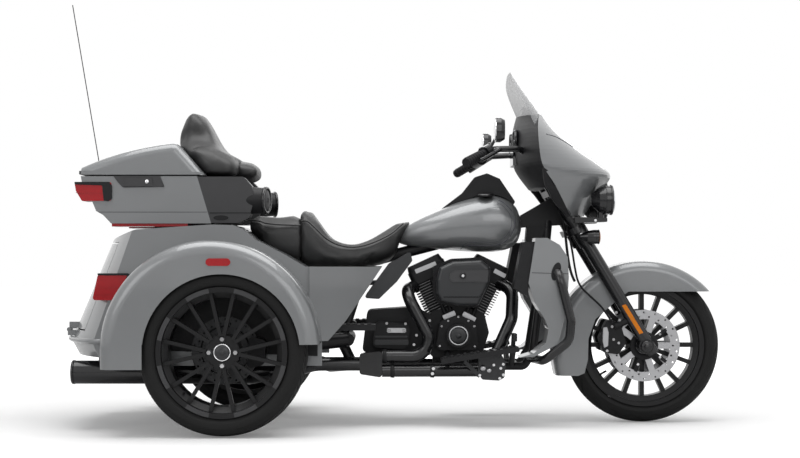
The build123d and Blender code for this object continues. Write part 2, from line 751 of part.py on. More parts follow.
# Seat: x, low z, high z, half width, corner
seat_sections = [
    (76.0, 806.0, 834.0, 46.0, 12.0),
    (30.0, 694.0, 812.0, 92.0, 30.0),
    (-20.0, 656.0, 784.0, 132.0, 40.0),
    (-160.0, 632.0, 738.0, 186.0, 44.0),
    (-270.0, 632.0, 790.0, 190.0, 50.0),
    (-340.0, 634.0, 884.0, 172.0, 50.0),
    (-372.0, 646.0, 850.0, 172.0, 50.0),
    (-450.0, 674.0, 842.0, 178.0, 40.0),
    (trunk_front_x, 710.0, 842.0, 172.0, 34.0),
    (trunk_front_x - 50.0, 744.0, 842.0, 166.0, 34.0),
]


def seat():
    return loft([station(*row) for row in seat_sections], ruled=True)


# Trunk: z, rear x at the middle, rear x at the corners
trunk_sections = [
    (290.0, -1268.0, -1126.0),
    (345.0, -1298.0, -1150.0),
    (820.0, -1096.0, -984.0),
]
# Deck of the trunk in the side view, from behind its rear end to ahead of its front wall
deck_line = [(-1525.0, 630.0), (-1125.0, 745.0), (-982.0, 786.0), (-692.0, 805.0), (-607.0, 803.0), (-569.0, 788.0),
             (trunk_front_x, 745.0), (-480.0, 710.0)]
deck_ceiling = 1200.0
axle_bay = (-775.0, 462.0)   # rear end and roof of the bay for the axle under the trunk


def trunk_form(inset):
    faces = []
    half = trunk_half_width - inset
    front_x = trunk_front_x - inset
    for z, rear_x, corner_x in trunk_sections:
        outline = Line((corner_x, half), (front_x, half)) + Line((front_x, half), (front_x, -half))
        outline += Line((front_x, -half), (corner_x, -half))
        outline += ThreePointArc((corner_x, -half), (rear_x + inset, 0), (corner_x, half))
        faces.append(Pos(0, 0, z) * make_face(outline))
    form = loft(faces, ruled=True)
    above = [(x, z - inset) for x, z in deck_line]
    above += [(deck_line[-1][0], deck_ceiling), (deck_line[0][0], deck_ceiling)]
    bay_x, bay_z = axle_bay[0] - inset, axle_bay[1] + inset
    below = [(bay_x, 0.0), (bay_x, bay_z), (0.0, bay_z), (0.0, 0.0)]
    floor_z = trunk_sections[0][0] + inset
    floor = [(deck_line[0][0], 0.0), (deck_line[0][0], floor_z), (0.0, floor_z), (0.0, 0.0)]
    wide = trunk_half_width * 2
    form -= side_prism(above, -wide, wide)
    form -= side_prism(below, -wide, wide)
    if inset > 0:
        form -= side_prism(floor, -wide, wide)
    return form


def flare_form(inset):
    """Outer form of the right fender, drawn in by the inset."""
    cx, cz = flare_centre
    radius = flare_radius - inset
    rear = (cx - radius, flare_rear_low - inset * 20)
    front = (cx + radius, flare_rear_low - inset * 20)
    edge = Line(rear, (cx - radius, cz)) + ThreePointArc((cx - radius, cz), (cx, cz + radius), (cx + radius, cz))
    edge += Line((cx + radius, cz), front) + Line(front, rear)
    inner_y = trunk_half_width - body_wall if inset == 0 else trunk_half_width
    outer_y = flare_outer_y - inset
    solid = extrude(make_face(edge), amount=outer_y - inner_y)
    rim = [e for e in solid.faces().sort_by(Axis.Z)[-1].edges() if e.center().Y > rear[1] + 1.0]
    solid = fillet(rim, flare_shoulder - inset)
    return Pos(0, -inner_y, 0) * Rot(90, 0, 0) * solid


def body_wing():
    """Right panel that leads from the fender's front to the frame under the seat."""
    thick = 8.0
    strip = make_face(Polyline((-24.0, -206.0), (-310.0, -446.0), (-310.0, -446.0 - thick), (-24.0, -206.0 - thick),
                               close=True))
    wall = extrude(Pos(0, 0, 300.0) * strip, amount=480.0)
    outline = [(-30.0, 640.0), (-172.0, 428.0), (-240.0, flare_front_low), (-430.0, flare_front_low), (-430.0, 700.0),
               (-377.0, 676.0), (-313.0, 642.0)]
    return wall & side_prism(outline, -600.0, 0.0)


# Upper edge of the body beside the seat, from the trunk forward
shoulder_line = [(trunk_front_x - 4.0, 748.0), (-411.0, 691.0), (-327.0, 642.0), (-296.0, 640.0)]
shoulder_inner = 150.0
shoulder_low = 480.0


def body_shoulder():
    """Right deck from the seat's side out to the fender's inner wall, with the wall below it."""
    under = [(x, z - body_wall) for x, z in reversed(shoulder_line)]
    deck = side_prism(shoulder_line + under, -trunk_half_width, -shoulder_inner)
    foot = [(shoulder_line[-1][0], shoulder_low), (shoulder_line[0][0], shoulder_low)]
    return deck + side_prism(shoulder_line + foot, -trunk_half_width, -trunk_half_width + body_wall)


def door_box(gap):
    return span_box((-1420.0, -door_half_width - gap, door_low - gap), (-1040.0, door_half_width + gap, door_high + gap))


def rear_body():
    fender = flare_form(0.0)
    well = flare_form(body_wall)
    arch = wheel_frame(rear_axle_x, -flare_outer_y, rear_axle_z) * Cylinder(arch_radius, 4 * flare_shoulder)
    foot = span_box((rear_axle_x - arch_radius, -flare_outer_y - 1.0, 0.0),
                    (rear_axle_x + 2 * flare_radius, -trunk_half_width, flare_front_low))
    axle_hole = wheel_frame(rear_axle_x, -trunk_half_width, rear_axle_z) * Cylinder(axle_hole_radius, 4 * body_wall)
    body = trunk_form(0.0) + pair(fender)
    body -= trunk_form(body_wall)
    body -= pair(well)
    body -= pair(arch)
    body -= pair(foot)
    body -= pair(axle_hole)
    body += pair(body_wing() + body_shoulder())
    return body - door_box(panel_gap)


def trunk_hinge_fixed():
    pieces = None
    for y in (-door_hinge_y, door_hinge_y):
        half = hinge_knuckle_length / 2
        pin = cross_y(door_hinge_x, y - half - hinge_lug_length, y + half + hinge_lug_length, door_hinge_z, hinge_pin_radius)
        for side in (-1, 1):
            near = y + side * (half + bearing_gap)
            far = y + side * (half + hinge_lug_length)
            low, high = min(near, far), max(near, far)
            pin += cross_y(door_hinge_x, low, high, door_hinge_z, hinge_knuckle_radius)
            pin += span_box((door_hinge_x - 4.0, low, door_hinge_z - 24.0), (door_hinge_x + 60.0, high, door_hinge_z - 3.0))
        pieces = pin if pieces is None else pieces + pin
    return pieces


def trunk_door():
    panel = (trunk_form(0.0) - trunk_form(door_wall)) & door_box(0.0)
    half = hinge_knuckle_length / 2
    for y in (-door_hinge_y, door_hinge_y):
        knuckle = cross_y(door_hinge_x, y - half, y + half, door_hinge_z, hinge_knuckle_radius)
        leaf = span_box((door_hinge_x, y - half, door_hinge_z + 2.0), (door_hinge_x + 60.0, y + half, door_low + 24.0))
        leaf -= trunk_form(0.0)
        panel += knuckle + leaf
        panel -= cross_y(door_hinge_x, y - half, y + half, door_hinge_z, hinge_pin_radius + bearing_gap)
    return panel


case_outline = [(-1222.0, case_split_z), (-1214.0, 958.0), (-1177.0, 900.0), (-1161.0, 861.0), (-1133.0, 845.0),
                (-1102.0, case_floor_z), (-706.0, case_floor_z), (-762.0, case_split_z)]


def inset_outline(points, inset):
    """Outline drawn in by a wall, by offsetting its face."""
    return offset(make_face(Polyline(*points, close=True)), amount=-inset, kind=Kind.INTERSECTION)


def case_form():
    return side_prism(case_outline, -case_half_width, case_half_width)


def case_base():
    outer = case_form()
    inner_half = case_half_width - case_wall
    hollow = extrude(inset_outline(case_outline, case_wall), amount=2 * inner_half)
    hollow = Pos(0, inner_half, 0) * Rot(90, 0, 0) * hollow
    mouth = span_box((-1222.0 + 14.0, -inner_half, case_split_z - 40.0), (-776.0, inner_half, case_split_z + 1.0))
    return outer - hollow - mouth


lid_rear = (-1222.0, 1034.0)
lid_middle = (-1042.0, 1098.0)
lid_crown = (-845.0, 1133.0)
lid_front = (-728.0, case_split_z + panel_gap)
lid_round = 36.0
lid_crown_round = 40.0
lid_slant = 1.35             # level thickness of the sloping front, of the wall's


def lid_form(inset):
    """Form of the lid drawn in by the inset, open below, its upper side edges rounded."""
    rear_x = lid_rear[0] + inset
    front_x, low = lid_front[0] - lid_slant * inset, lid_front[1]
    rear, middle, crown = ((x, z - inset) for x, z in ((rear_x, lid_rear[1]), lid_middle, lid_crown))
    edge = Line((rear_x, low), rear) + ThreePointArc(rear, middle, crown)
    edge += Line(crown, (front_x, low)) + Line((front_x, low), (rear_x, low))
    half = case_half_width - inset
    outline = make_face(edge)
    outline = fillet(outline.vertices().sort_by(Axis.Y)[-1], lid_crown_round - inset)
    solid = Pos(0, half, 0) * Rot(90, 0, 0) * extrude(outline, amount=2 * half)
    top = [e for e in solid.edges() if e.center().Z > lid_rear[1] and abs(e.center().Y) > half / 2]
    return fillet(top, lid_round - inset)


def case_lid():
    lid = lid_form(0.0) - lid_form(case_wall)
    half = hinge_knuckle_length / 2
    for x in lid_hinge_x:
        lid += rod((x - half, lid_hinge_y, case_split_z + 2.0), (x + half, lid_hinge_y, case_split_z + 2.0), hinge_knuckle_radius)
        lid += span_box((x - half, case_half_width - 3.0, case_split_z + panel_gap + 1.0),
                        (x + half, lid_hinge_y, case_split_z + 24.0))
        lid -= rod((x - half, lid_hinge_y, case_split_z + 2.0), (x + half, lid_hinge_y, case_split_z + 2.0),
                   hinge_pin_radius + bearing_gap)
    return lid


def lid_hinge_fixed():
    pieces = None
    half = hinge_knuckle_length / 2
    z = case_split_z + 2.0
    for x in lid_hinge_x:
        pin = rod((x - half - hinge_lug_length, lid_hinge_y, z), (x + half + hinge_lug_length, lid_hinge_y, z), hinge_pin_radius)
        for side in (-1, 1):
            low = min(x + side * (half + bearing_gap), x + side * (half + hinge_lug_length))
            high = max(x + side * (half + bearing_gap), x + side * (half + hinge_lug_length))
            pin += rod((low, lid_hinge_y, z), (high, lid_hinge_y, z), hinge_knuckle_radius)
            pin += span_box((low, case_half_width, z - 26.0), (high, lid_hinge_y, z - 4.0))
        pieces = pin if pieces is None else pieces + pin
    return pieces


def case_rack():
    rail = span_box((-950.0, -150.0, 770.0), (-640.0, -110.0, case_floor_z))
    return pair(rail) - trunk_form(0.0)


def speaker_pods():
    outline = [(-780.0, 997.0), (-730.0, 814.0), (-600.0, 814.0), (-556.0, 834.0), (-537.0, 900.0), (-545.0, 960.0),
               (-578.0, 997.0)]
    pod = side_prism(outline, -case_half_width, -178.0, 14.0)
    return pair(pod)


speaker_root = (-575.0, -240.0, 904.0)
speaker_radius = 56.0
speaker_length = 84.0
speaker_toe = 14.0           # degrees outward
speaker_taper = 4.0


def speakers():
    toe = math.radians(speaker_toe)
    plane = Plane(origin=speaker_root, z_dir=(math.cos(toe), -math.sin(toe), 0))
    return pair(extrude(plane * Circle(speaker_radius), amount=speaker_length, taper=speaker_taper))


# Backrest in the side view: the upright pad with the lumbar pad ahead of its foot, and the wing on each side
backrest_outline = [(-890.0, 1112.0), (-862.0, 1150.0), (-824.0, 1248.0), (-795.0, 1272.0), (-756.0, 1238.0),
                    (-722.0, 1172.0), (-690.0, 1112.0), (-606.0, 1066.0), (-540.0, 1058.0), (-532.0, 1000.0),
                    (-606.0, 980.0), (-760.0, 1010.0)]
backrest_wing = [(-880.0, 1116.0), (-760.0, 1010.0), (-592.0, 1010.0), (-600.0, 1052.0), (-650.0, 1086.0),
                 (-760.0, 1118.0)]
backrest_half = 150.0


def passenger_backrest():
    pad = side_prism(backrest_outline, -backrest_half, backrest_half, 12.0)
    wing = side_prism(backrest_wing, -case_half_width + case_wall, -backrest_half, 10.0)
    return pad + pair(wing)


def antenna():
    base = (-1242.0, 250.0, 1086.0)
    tip = (-1355.0, 250.0, 1757.0)
    mast = rod(base, tip, 2.0)
    mast += rod((-1238.0, 250.0, 1062.0), base, 5.0)
    bracket = span_box((-1250.0, 236.0, 977.0), (-1227.0, 264.0, 1062.0))
    foot = span_box((-1250.0, 236.0, 977.0), (-1215.0, 264.0, 996.0))
    return mast + bracket + foot


def case_lamps():
    lamp = side_prism([(-1246.0, 975.0), (-1240.0, 940.0), (-1216.0, 900.0), (-1100.0, 902.0), (-1100.0, 975.0)],
                      -case_half_width - 6.0, -190.0, 8.0)
    strip = span_box((-1100.0, -case_half_width + 8.0, case_floor_z - 12.0), (-800.0, -160.0, case_floor_z))
    return pair(lamp) + pair(strip)


def tail_lamps():
    plate = side_prism([(-1150.0, 512.0), (-1128.0, 612.0), (-1012.0, 612.0), (-1012.0, 512.0)], -452.0, -350.0, 10.0)
    return pair(plate)


def fender_reflectors():
    plane = Plane(origin=(-640.0, -flare_outer_y, 660.0), x_dir=(1, 0, 0), z_dir=(0, -1, 0))
    return pair(extrude(plane * SlotOverall(92.0, 28.0), amount=4.0))


def lower_fairings():
    outline = [(575.0, 754.0), (622.0, 754.0), (670.0, 727.0), (702.0, 679.0), (706.0, 600.0), (698.0, 477.0), (662.0, 335.0),
               (571.0, 287.0), (512.0, 283.0), (567.0, 299.0), (615.0, 339.0), (627.0, 394.0), (611.0, 434.0),
               (571.0, 501.0), (547.0, 576.0)]
    shell = side_prism(outline, -330.0, -178.0)
    liner = side_prism([(572.0, 740.0), (526.0, 738.0), (490.0, 556.0), (546.0, 521.0), (550.0, 580.0)], -318.0, -190.0)
    return pair(shell), pair(liner)


guard_radius = 18.0
guard_bend = 55.0


def engine_guard():
    half = bent_tube([(630.0, -70.0, 640.0), (652.0, -250.0, 634.0), (664.0, -352.0, 618.0), (712.0, -352.0, 430.0),
                      (706.0, -350.0, 350.0), (610.0, -300.0, 268.0), (568.0, -rail_y, 270.0)], guard_radius, guard_bend)
    return pair(half)


def rider_footboards():
    board = side_prism([(206.0, 256.0), (514.0, 306.0), (510.0, 326.0), (202.0, 276.0)], -330.0, -212.0, 6.0)
    arm = rod((236.0, -80.0, 290.0), (236.0, -250.0, 272.0), 9.0)
    other = rod((494.0, -rail_y, rail_z), (494.0, -236.0, 312.0), 12.0)
    return pair(board + arm + other)


def passenger_footboards():
    board = span_box((-238.0, -300.0, 388.0), (-56.0, -205.0, 412.0))
    arm = rod((-150.0, -100.0, 400.0), (-150.0, -230.0, 400.0), 11.0)
    return pair(board + arm)


def foot_controls():
    """Pedal on the right and shifter on the left, each on an arm beside its footboard."""
    arm = rod((494.0, -200.0, 290.0), (498.0, -200.0, 352.0), 9.0)
    pad = span_box((490.0, -286.0, 344.0), (506.0, -191.0, 374.0))
    peg = cross_y(498.0, -286.0, -191.0, 358.0, 12.0)
    return arm + pad + mirror(arm + peg, about=Plane.XZ)


front_place = wheel_frame(front_axle_x, 0, front_axle_z)
right_place = wheel_frame(rear_axle_x, -rear_wheel_y, rear_axle_z)

nodes = {}
nodes["front_tyre"] = front_place * tyre(front_tyre_radius, front_tyre_width, front_tyre_crown, front_bead_radius,
                                         front_bead_width)
nodes["front_rim"] = front_place * front_rim()
disc = brake_disc(front_disc_radius, front_axle_radius + 20.0, front_disc_y)
nodes["front_discs"] = pair(front_place * disc)
right_wheel = {
    "tyre": right_place * tyre(rear_tyre_radius, rear_tyre_width, rear_tyre_crown, rear_bead_radius, rear_bead_width),
    "rim": right_place * rear_rim(),
    "disc": right_place * brake_disc(rear_disc_radius, rear_hub_radius + seat_gap, rear_disc_offset),
}
for piece, solid in right_wheel.items():
    nodes[f"rear_{piece}_right"] = solid
    nodes[f"rear_{piece}_left"] = mirror(solid, about=Plane.XZ)

axle = front_axle()
clamps = triple_clamps()
legs = fork_legs()
nodes["front_axle"] = axle
nodes["fork_legs"] = legs - axle
nodes["triple_clamps"] = clamps - legs
nodes["front_fender"] = front_fender() - legs
outer = fairing_outer()
lamp = headlamp()
bars = handlebar() - clamps
nodes["headlamp"] = lamp
nodes["fairing_outer"] = outer - lamp - legs - clamps
nodes["handlebar"] = bars
nodes["fairing_inner"] = fairing_inner() - outer - bars - clamps - legs
nodes["windshield"] = windshield() - outer - nodes["fairing_inner"]
nodes["grips"] = grips() - bars
nodes["hand_levers"] = hand_levers() - bars - nodes["grips"]
nodes["mirrors"] = mirrors() - nodes["hand_levers"] - bars
nodes["passing_lamps"] = passing_lamps() - legs
nodes["turn_signals"] = turn_signals() - legs
nodes["brake_calipers"] = brake_calipers() - legs

skeleton = frame()
nodes["frame"] = skeleton
nodes["swingarm"] = swingarm() - skeleton
axle_housing = rear_axle()
nodes["rear_axle"] = axle_housing - nodes["swingarm"]
nodes["rear_calipers"] = rear_calipers() - axle_housing

case = crankcase()
nodes["crankcase"] = case
cylinders = engine_cylinder(cylinder_tilts["rear"]) + engine_cylinder(cylinder_tilts["front"]) - case
nodes["cylinders"] = cylinders
nodes["rocker_covers"] = rocker_covers()
nodes["cam_cover"] = cam_cover() - case
nodes["primary_cover"] = primary_cover() - case
nodes["transmission"] = transmission() - case - cylinders
nodes["air_cleaner"] = air_cleaner() - cylinders
pipes = exhaust_pipes() - cylinders - case
nodes["exhaust_pipes"] = pipes
nodes["mufflers"] = muffler(-muffler_y) + muffler(muffler_y) - pipes

tank = fuel_tank()
nodes["fuel_tank"] = tank
nodes["tank_console"] = tank_console() - tank
body = rear_body()
trunk = trunk_form(0.0)
nodes["rear_body"] = body - skeleton
nodes["seat"] = seat() - tank - trunk - body - skeleton
nodes["side_covers"] = side_covers() - skeleton
base = case_base()
lamps = case_lamps()
nodes["case_lamps"] = lamps
nodes["case_base"] = base - lamps
nodes["case_rack"] = case_rack()
nodes["hinges"] = (trunk_hinge_fixed() - trunk) + lid_hinge_fixed()
nodes["trunk_door"] = trunk_door()
nodes["case_lid"] = case_lid()
nodes["passenger_backrest"] = passenger_backrest() - lid_form(0.0)
pods = speaker_pods() - case_form()
nodes["speaker_pods"] = pods
nodes["speakers"] = speakers() - pods
nodes["antenna"] = antenna() - case_form()
nodes["tail_lamps"] = tail_lamps() - trunk - pair(flare_form(0.0)) + fender_reflectors()
shell, liner = lower_fairings()
guard = engine_guard() - skeleton
nodes["engine_guard"] = guard
nodes["lower_fairings"] = shell - guard
nodes["lower_liners"] = liner - guard - shell
boards = rider_footboards() + passenger_footboards() - skeleton - case - nodes["primary_cover"]
nodes["footboards"] = boards
nodes["foot_controls"] = foot_controls() - boards
nodes["shocks"] = shocks() - skeleton - nodes["swingarm"]

os.makedirs("parts", exist_ok=True)
for name, solid in nodes.items():
    export_step(solid, f"parts/{name}.step")
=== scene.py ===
import math

import bmesh
import bpy
from mathutils import Matrix, Vector


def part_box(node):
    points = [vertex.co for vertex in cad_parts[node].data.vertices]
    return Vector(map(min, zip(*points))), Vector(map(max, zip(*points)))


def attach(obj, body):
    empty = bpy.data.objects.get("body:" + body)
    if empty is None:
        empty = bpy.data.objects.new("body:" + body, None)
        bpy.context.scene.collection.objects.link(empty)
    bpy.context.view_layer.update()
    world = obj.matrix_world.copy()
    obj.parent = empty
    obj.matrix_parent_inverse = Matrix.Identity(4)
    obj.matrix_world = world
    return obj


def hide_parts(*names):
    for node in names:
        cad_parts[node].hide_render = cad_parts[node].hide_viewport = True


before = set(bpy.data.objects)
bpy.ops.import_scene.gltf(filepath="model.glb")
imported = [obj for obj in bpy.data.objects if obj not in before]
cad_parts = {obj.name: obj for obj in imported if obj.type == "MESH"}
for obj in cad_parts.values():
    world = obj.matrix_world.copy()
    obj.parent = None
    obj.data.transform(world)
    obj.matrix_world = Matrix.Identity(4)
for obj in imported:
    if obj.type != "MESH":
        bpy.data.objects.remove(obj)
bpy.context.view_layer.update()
mm = 0.001
print("stage: frame loaded")


# camera at the photograph's place, and the studio
shot = {"place": (-0.018, -7.0, 0.683), "focalPixels": 1694.0, "imageWidth": 800.0,
        "middle": (385.0, 256.0), "imageHeight": 458.0, "sensor": 36.0}


def makeCamera(conf):
    data = bpy.data.cameras.new("photoCamera")
    data.sensor_width = conf["sensor"]
    data.lens = conf["focalPixels"] / conf["imageWidth"] * conf["sensor"]
    data.shift_x = (conf["imageWidth"] / 2 - conf["middle"][0]) / conf["imageWidth"]
    data.shift_y = (conf["middle"][1] - conf["imageHeight"] / 2) / conf["imageWidth"]
    data.clip_end = 200.0
    camera = bpy.data.objects.new("photoCamera", data)
    bpy.context.collection.objects.link(camera)
    camera.location = conf["place"]
    camera.rotation_euler = (math.pi / 2, 0, 0)
    bpy.context.scene.camera = camera


makeCamera(shot)
bpy.context.scene.view_settings.view_transform = "Standard"


# shader maths: a wrapped socket, and one method that adds any node
class Wire:
    def __init__(self, tree, socket=None):
        self.tree = tree
        self.socket = socket

    def node(self, kind, settings=None, sockets=None, out=0):
        made = self.tree.nodes.new(kind)
        for name, value in (settings or {}).items():
            setattr(made, name, value)
        for name, value in (sockets or {}).items():
            target = made.inputs[name]
            if isinstance(value, Wire):
                self.tree.links.new(value.socket, target)
            else:
                target.default_value = value
        return Wire(self.tree, made.outputs[out])

    def maths(self, operation, first, second):
        return self.node("ShaderNodeMath", {"operation": operation}, {0: first, 1: second})

    def __add__(self, other):
        return self.maths("ADD", self, other)

    def __radd__(self, other):
        return self.maths("ADD", other, self)

    def __sub__(self, other):
        return self.maths("SUBTRACT", self, other)

    def __mul__(self, other):
        return self.maths("MULTIPLY", self, other)

    def mixed(self, first, second):
        return self.node("ShaderNodeMix", {"data_type": "RGBA"}, {0: self, 6: first, 7: second}, 2)


def startFinish(name, **fixed):
    material = bpy.data.materials.new(name)
    material.use_nodes = True
    shader = material.node_tree.nodes["Principled BSDF"]
    for socket, value in fixed.items():
        shader.inputs[socket.replace("_", " ")].default_value = value
    wire = Wire(material.node_tree)
    wire.place = wire.node("ShaderNodeTexCoord", out=3)
    wire.shader = shader
    return material, wire


def feed(wire, socket, value):
    wire.tree.links.new(value.socket, wire.shader.inputs[socket])


def bumped(wire, height, strength, distance):
    feed(wire, "Normal", wire.node("ShaderNodeBump", {},
                                   {"Strength": strength, "Distance": distance, "Height": height}))


def noise(wire, scale, detail=3.0, rough=0.5):
    return wire.node("ShaderNodeTexNoise", {}, {"Vector": wire.place, "Scale": scale, "Detail": detail,
                                                "Roughness": rough})


def rgba(colour):
    return (*colour, 1.0)


# painted and bare finishes: colour and its drift, roughness, metal, coat, grain of the bump, shine
plainFinish = {"metal": 0.0, "coat": 0.0, "shine": 0.5, "coatRough": 0.04, "broad": 6.0,
               "broadShare": 0.7, "relief": 0.0006}
finishes = {
    "silverPaint": {"colour": (0.190, 0.196, 0.201), "drift": 0.05, "rough": (0.30, 0.40),
        "metal": 0.30, "coat": 0.75, "grain": 1500.0, "bump": 0.03},
    "blackPaint": {"colour": (0.007, 0.007, 0.008), "drift": 0.2, "rough": (0.20, 0.30),
        "coat": 0.35, "grain": 300.0, "bump": 0.01, "shine": 0.35},
    "satinBlack": {"colour": (0.009, 0.009, 0.010), "drift": 0.2, "rough": (0.36, 0.50),
        "grain": 900.0, "bump": 0.08, "shine": 0.25},
    "castBlack": {"colour": (0.008, 0.008, 0.009), "drift": 0.25, "rough": (0.42, 0.58),
        "grain": 620.0, "bump": 0.35, "shine": 0.22},
    "alloyBlack": {"colour": (0.004, 0.004, 0.0045), "drift": 0.2, "rough": (0.32, 0.44),
        "coat": 0.04, "grain": 900.0, "bump": 0.04, "shine": 0.28},
    "darkGrey": {"colour": (0.024, 0.025, 0.027), "drift": 0.15, "rough": (0.32, 0.44),
        "coat": 0.1, "grain": 900.0, "bump": 0.06, "shine": 0.35},
    "finEdge": {"colour": (0.16, 0.16, 0.165), "drift": 0.1, "rough": (0.30, 0.42), "metal": 0.8,
        "grain": 700.0, "bump": 0.05},
    "pinStripe": {"colour": (0.012, 0.014, 0.030), "drift": 0.05, "rough": (0.25, 0.32),
        "coat": 0.6, "grain": 400.0, "bump": 0.01},
    "displayGlass": {"colour": (0.004, 0.005, 0.007), "drift": 0.2, "rough": (0.06, 0.10),
        "coat": 0.6, "grain": 200.0, "bump": 0.0},
    "machined": {"colour": (0.42, 0.42, 0.43), "drift": 0.08, "rough": (0.22, 0.36), "metal": 1.0,
        "grain": 700.0, "bump": 0.05},
    "bright": {"colour": (0.75, 0.75, 0.76), "drift": 0.03, "rough": (0.05, 0.12), "metal": 1.0,
        "grain": 400.0, "bump": 0.01},
    "mouldedBlack": {"colour": (0.009, 0.009, 0.010), "drift": 0.2, "rough": (0.45, 0.6),
        "grain": 800.0, "bump": 0.3, "shine": 0.25},
    "mouldedGrey": {"colour": (0.048, 0.048, 0.050), "drift": 0.15, "rough": (0.42, 0.55),
        "grain": 800.0, "bump": 0.25, "shine": 0.3},
    "rubber": {"colour": (0.010, 0.010, 0.011), "drift": 0.3, "rough": (0.62, 0.78),
        "grain": 420.0, "bump": 0.2, "shine": 0.25},
    "redLens": {"colour": (0.36, 0.004, 0.008), "drift": 0.2, "rough": (0.16, 0.24), "coat": 0.25,
        "grain": 60.0, "bump": 0.02, "shine": 0.3},
    "amberLens": {"colour": (0.66, 0.19, 0.004), "drift": 0.15, "rough": (0.16, 0.24),
        "coat": 0.25, "grain": 60.0, "bump": 0.02, "shine": 0.3},
}


def makeFinish(name, conf):
    conf = {**plainFinish, **conf}
    material, wire = startFinish(name, Metallic=conf["metal"], Coat_Weight=conf["coat"],
                                 Coat_Roughness=conf["coatRough"], Specular_IOR_Level=conf["shine"])
    broad = noise(wire, conf["broad"])
    fine = noise(wire, conf["grain"], 2.0)
    shade = broad * conf["broadShare"] + fine * (1 - conf["broadShare"])
    low = rgba([c * (1 - conf["drift"]) for c in conf["colour"]])
    high = rgba([c * (1 + conf["drift"]) for c in conf["colour"]])
    feed(wire, "Base Color", shade.mixed(low, high))
    feed(wire, "Roughness", conf["rough"][0] + shade * (conf["rough"][1] - conf["rough"][0]))
    bumped(wire, fine, conf["bump"], conf["relief"])
    return material


finish = {name: makeFinish(name, conf) for name, conf in finishes.items()}

leatherLook = {"colour": (0.007, 0.007, 0.0075), "worn": (0.018, 0.018, 0.018), "grain": 260.0}


def makeLeather(conf):
    material, wire = startFinish("seatLeather", Coat_Weight=0.05)
    cells = wire.node("ShaderNodeTexVoronoi", {"feature": "DISTANCE_TO_EDGE"},
                      {"Vector": wire.place, "Scale": conf["grain"]})
    creases = noise(wire, 28.0, 6.0, 0.6)
    feed(wire, "Base Color", noise(wire, 9.0, 4.0).mixed(rgba(conf["colour"]), rgba(conf["worn"])))
    feed(wire, "Roughness", 0.40 + creases * 0.22)
    bumped(wire, cells * 1.2 + creases * 0.25, 0.35, 0.0008)
    return material


tyreLook = {"colour": (0.005, 0.005, 0.005), "dusty": (0.013, 0.013, 0.013), "shine": 0.22,
            "grain": 700.0}


def makeTyreRubber(conf):
    material, wire = startFinish("tyreRubber", Specular_IOR_Level=conf["shine"])
    dust = noise(wire, 18.0, 5.0, 0.62)
    fine = noise(wire, conf["grain"], 2.0)
    feed(wire, "Base Color", dust.mixed(rgba(conf["colour"]), rgba(conf["dusty"])))
    feed(wire, "Roughness", 0.58 + dust * 0.22)
    bumped(wire, fine, 0.2, plainFinish["relief"])
    return material


screenLook = {"colour": (0.20, 0.205, 0.215), "topShade": 1.5, "alpha": 0.50, "fade": -0.12}


def makeScreen(conf):
    material, wire = startFinish("smokedScreen", Roughness=0.04, Coat_Weight=1.0)
    depth = wire.node("ShaderNodeSeparateXYZ", {}, {0: wire.place}, 2)
    low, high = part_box("windshield")
    rise = (depth - low[2]) * (1.0 / (high[2] - low[2]))
    feed(wire, "Base Color", rise.mixed(rgba(conf["colour"]),
                                        rgba([c * conf["topShade"] for c in conf["colour"]])))
    feed(wire, "Alpha", conf["alpha"] + rise * conf["fade"])
    return material


lensLook = {"dim": (0.55, 0.57, 0.60), "lit": (0.80, 0.82, 0.85), "flutes": 30.0}


def makeClearLens(conf):
    material, wire = startFinish("clearLens", Roughness=0.03, Coat_Weight=1.0, IOR=1.45)
    flutes = noise(wire, conf["flutes"], 1.0)
    feed(wire, "Base Color", flutes.mixed(rgba(conf["dim"]), rgba(conf["lit"])))
    feed(wire, "Metallic", 0.75 + flutes * 0.15)
    return material


finish["seatLeather"] = makeLeather(leatherLook)
finish["tyreRubber"] = makeTyreRubber(tyreLook)
finish["smokedScreen"] = makeScreen(screenLook)
finish["clearLens"] = makeClearLens(lensLook)
print("stage: finishes made")


# floor, world and soft boxes
studio = {"floorSize": 60.0, "floorColour": (0.86, 0.86, 0.86), "floorLift": (0.17, 0.82),
          "liftReach": (1.6, 4.5), "worldLevel": 0.30, "aim": (0, 0, 0.6)}
softBoxes = [  # name, place, size, watts
    ("topBox", (0.0, -0.6, 4.6), (5.0, 3.4), 190.0),
    ("sideBox", (1.8, -5.2, 2.6), (3.5, 2.4), 45.0),
    ("rearBox", (-3.6, -3.6, 2.4), (2.4, 2.2), 30.0),
    ("farBox", (0.0, 5.0, 3.2), (5.0, 2.4), 60.0),
]


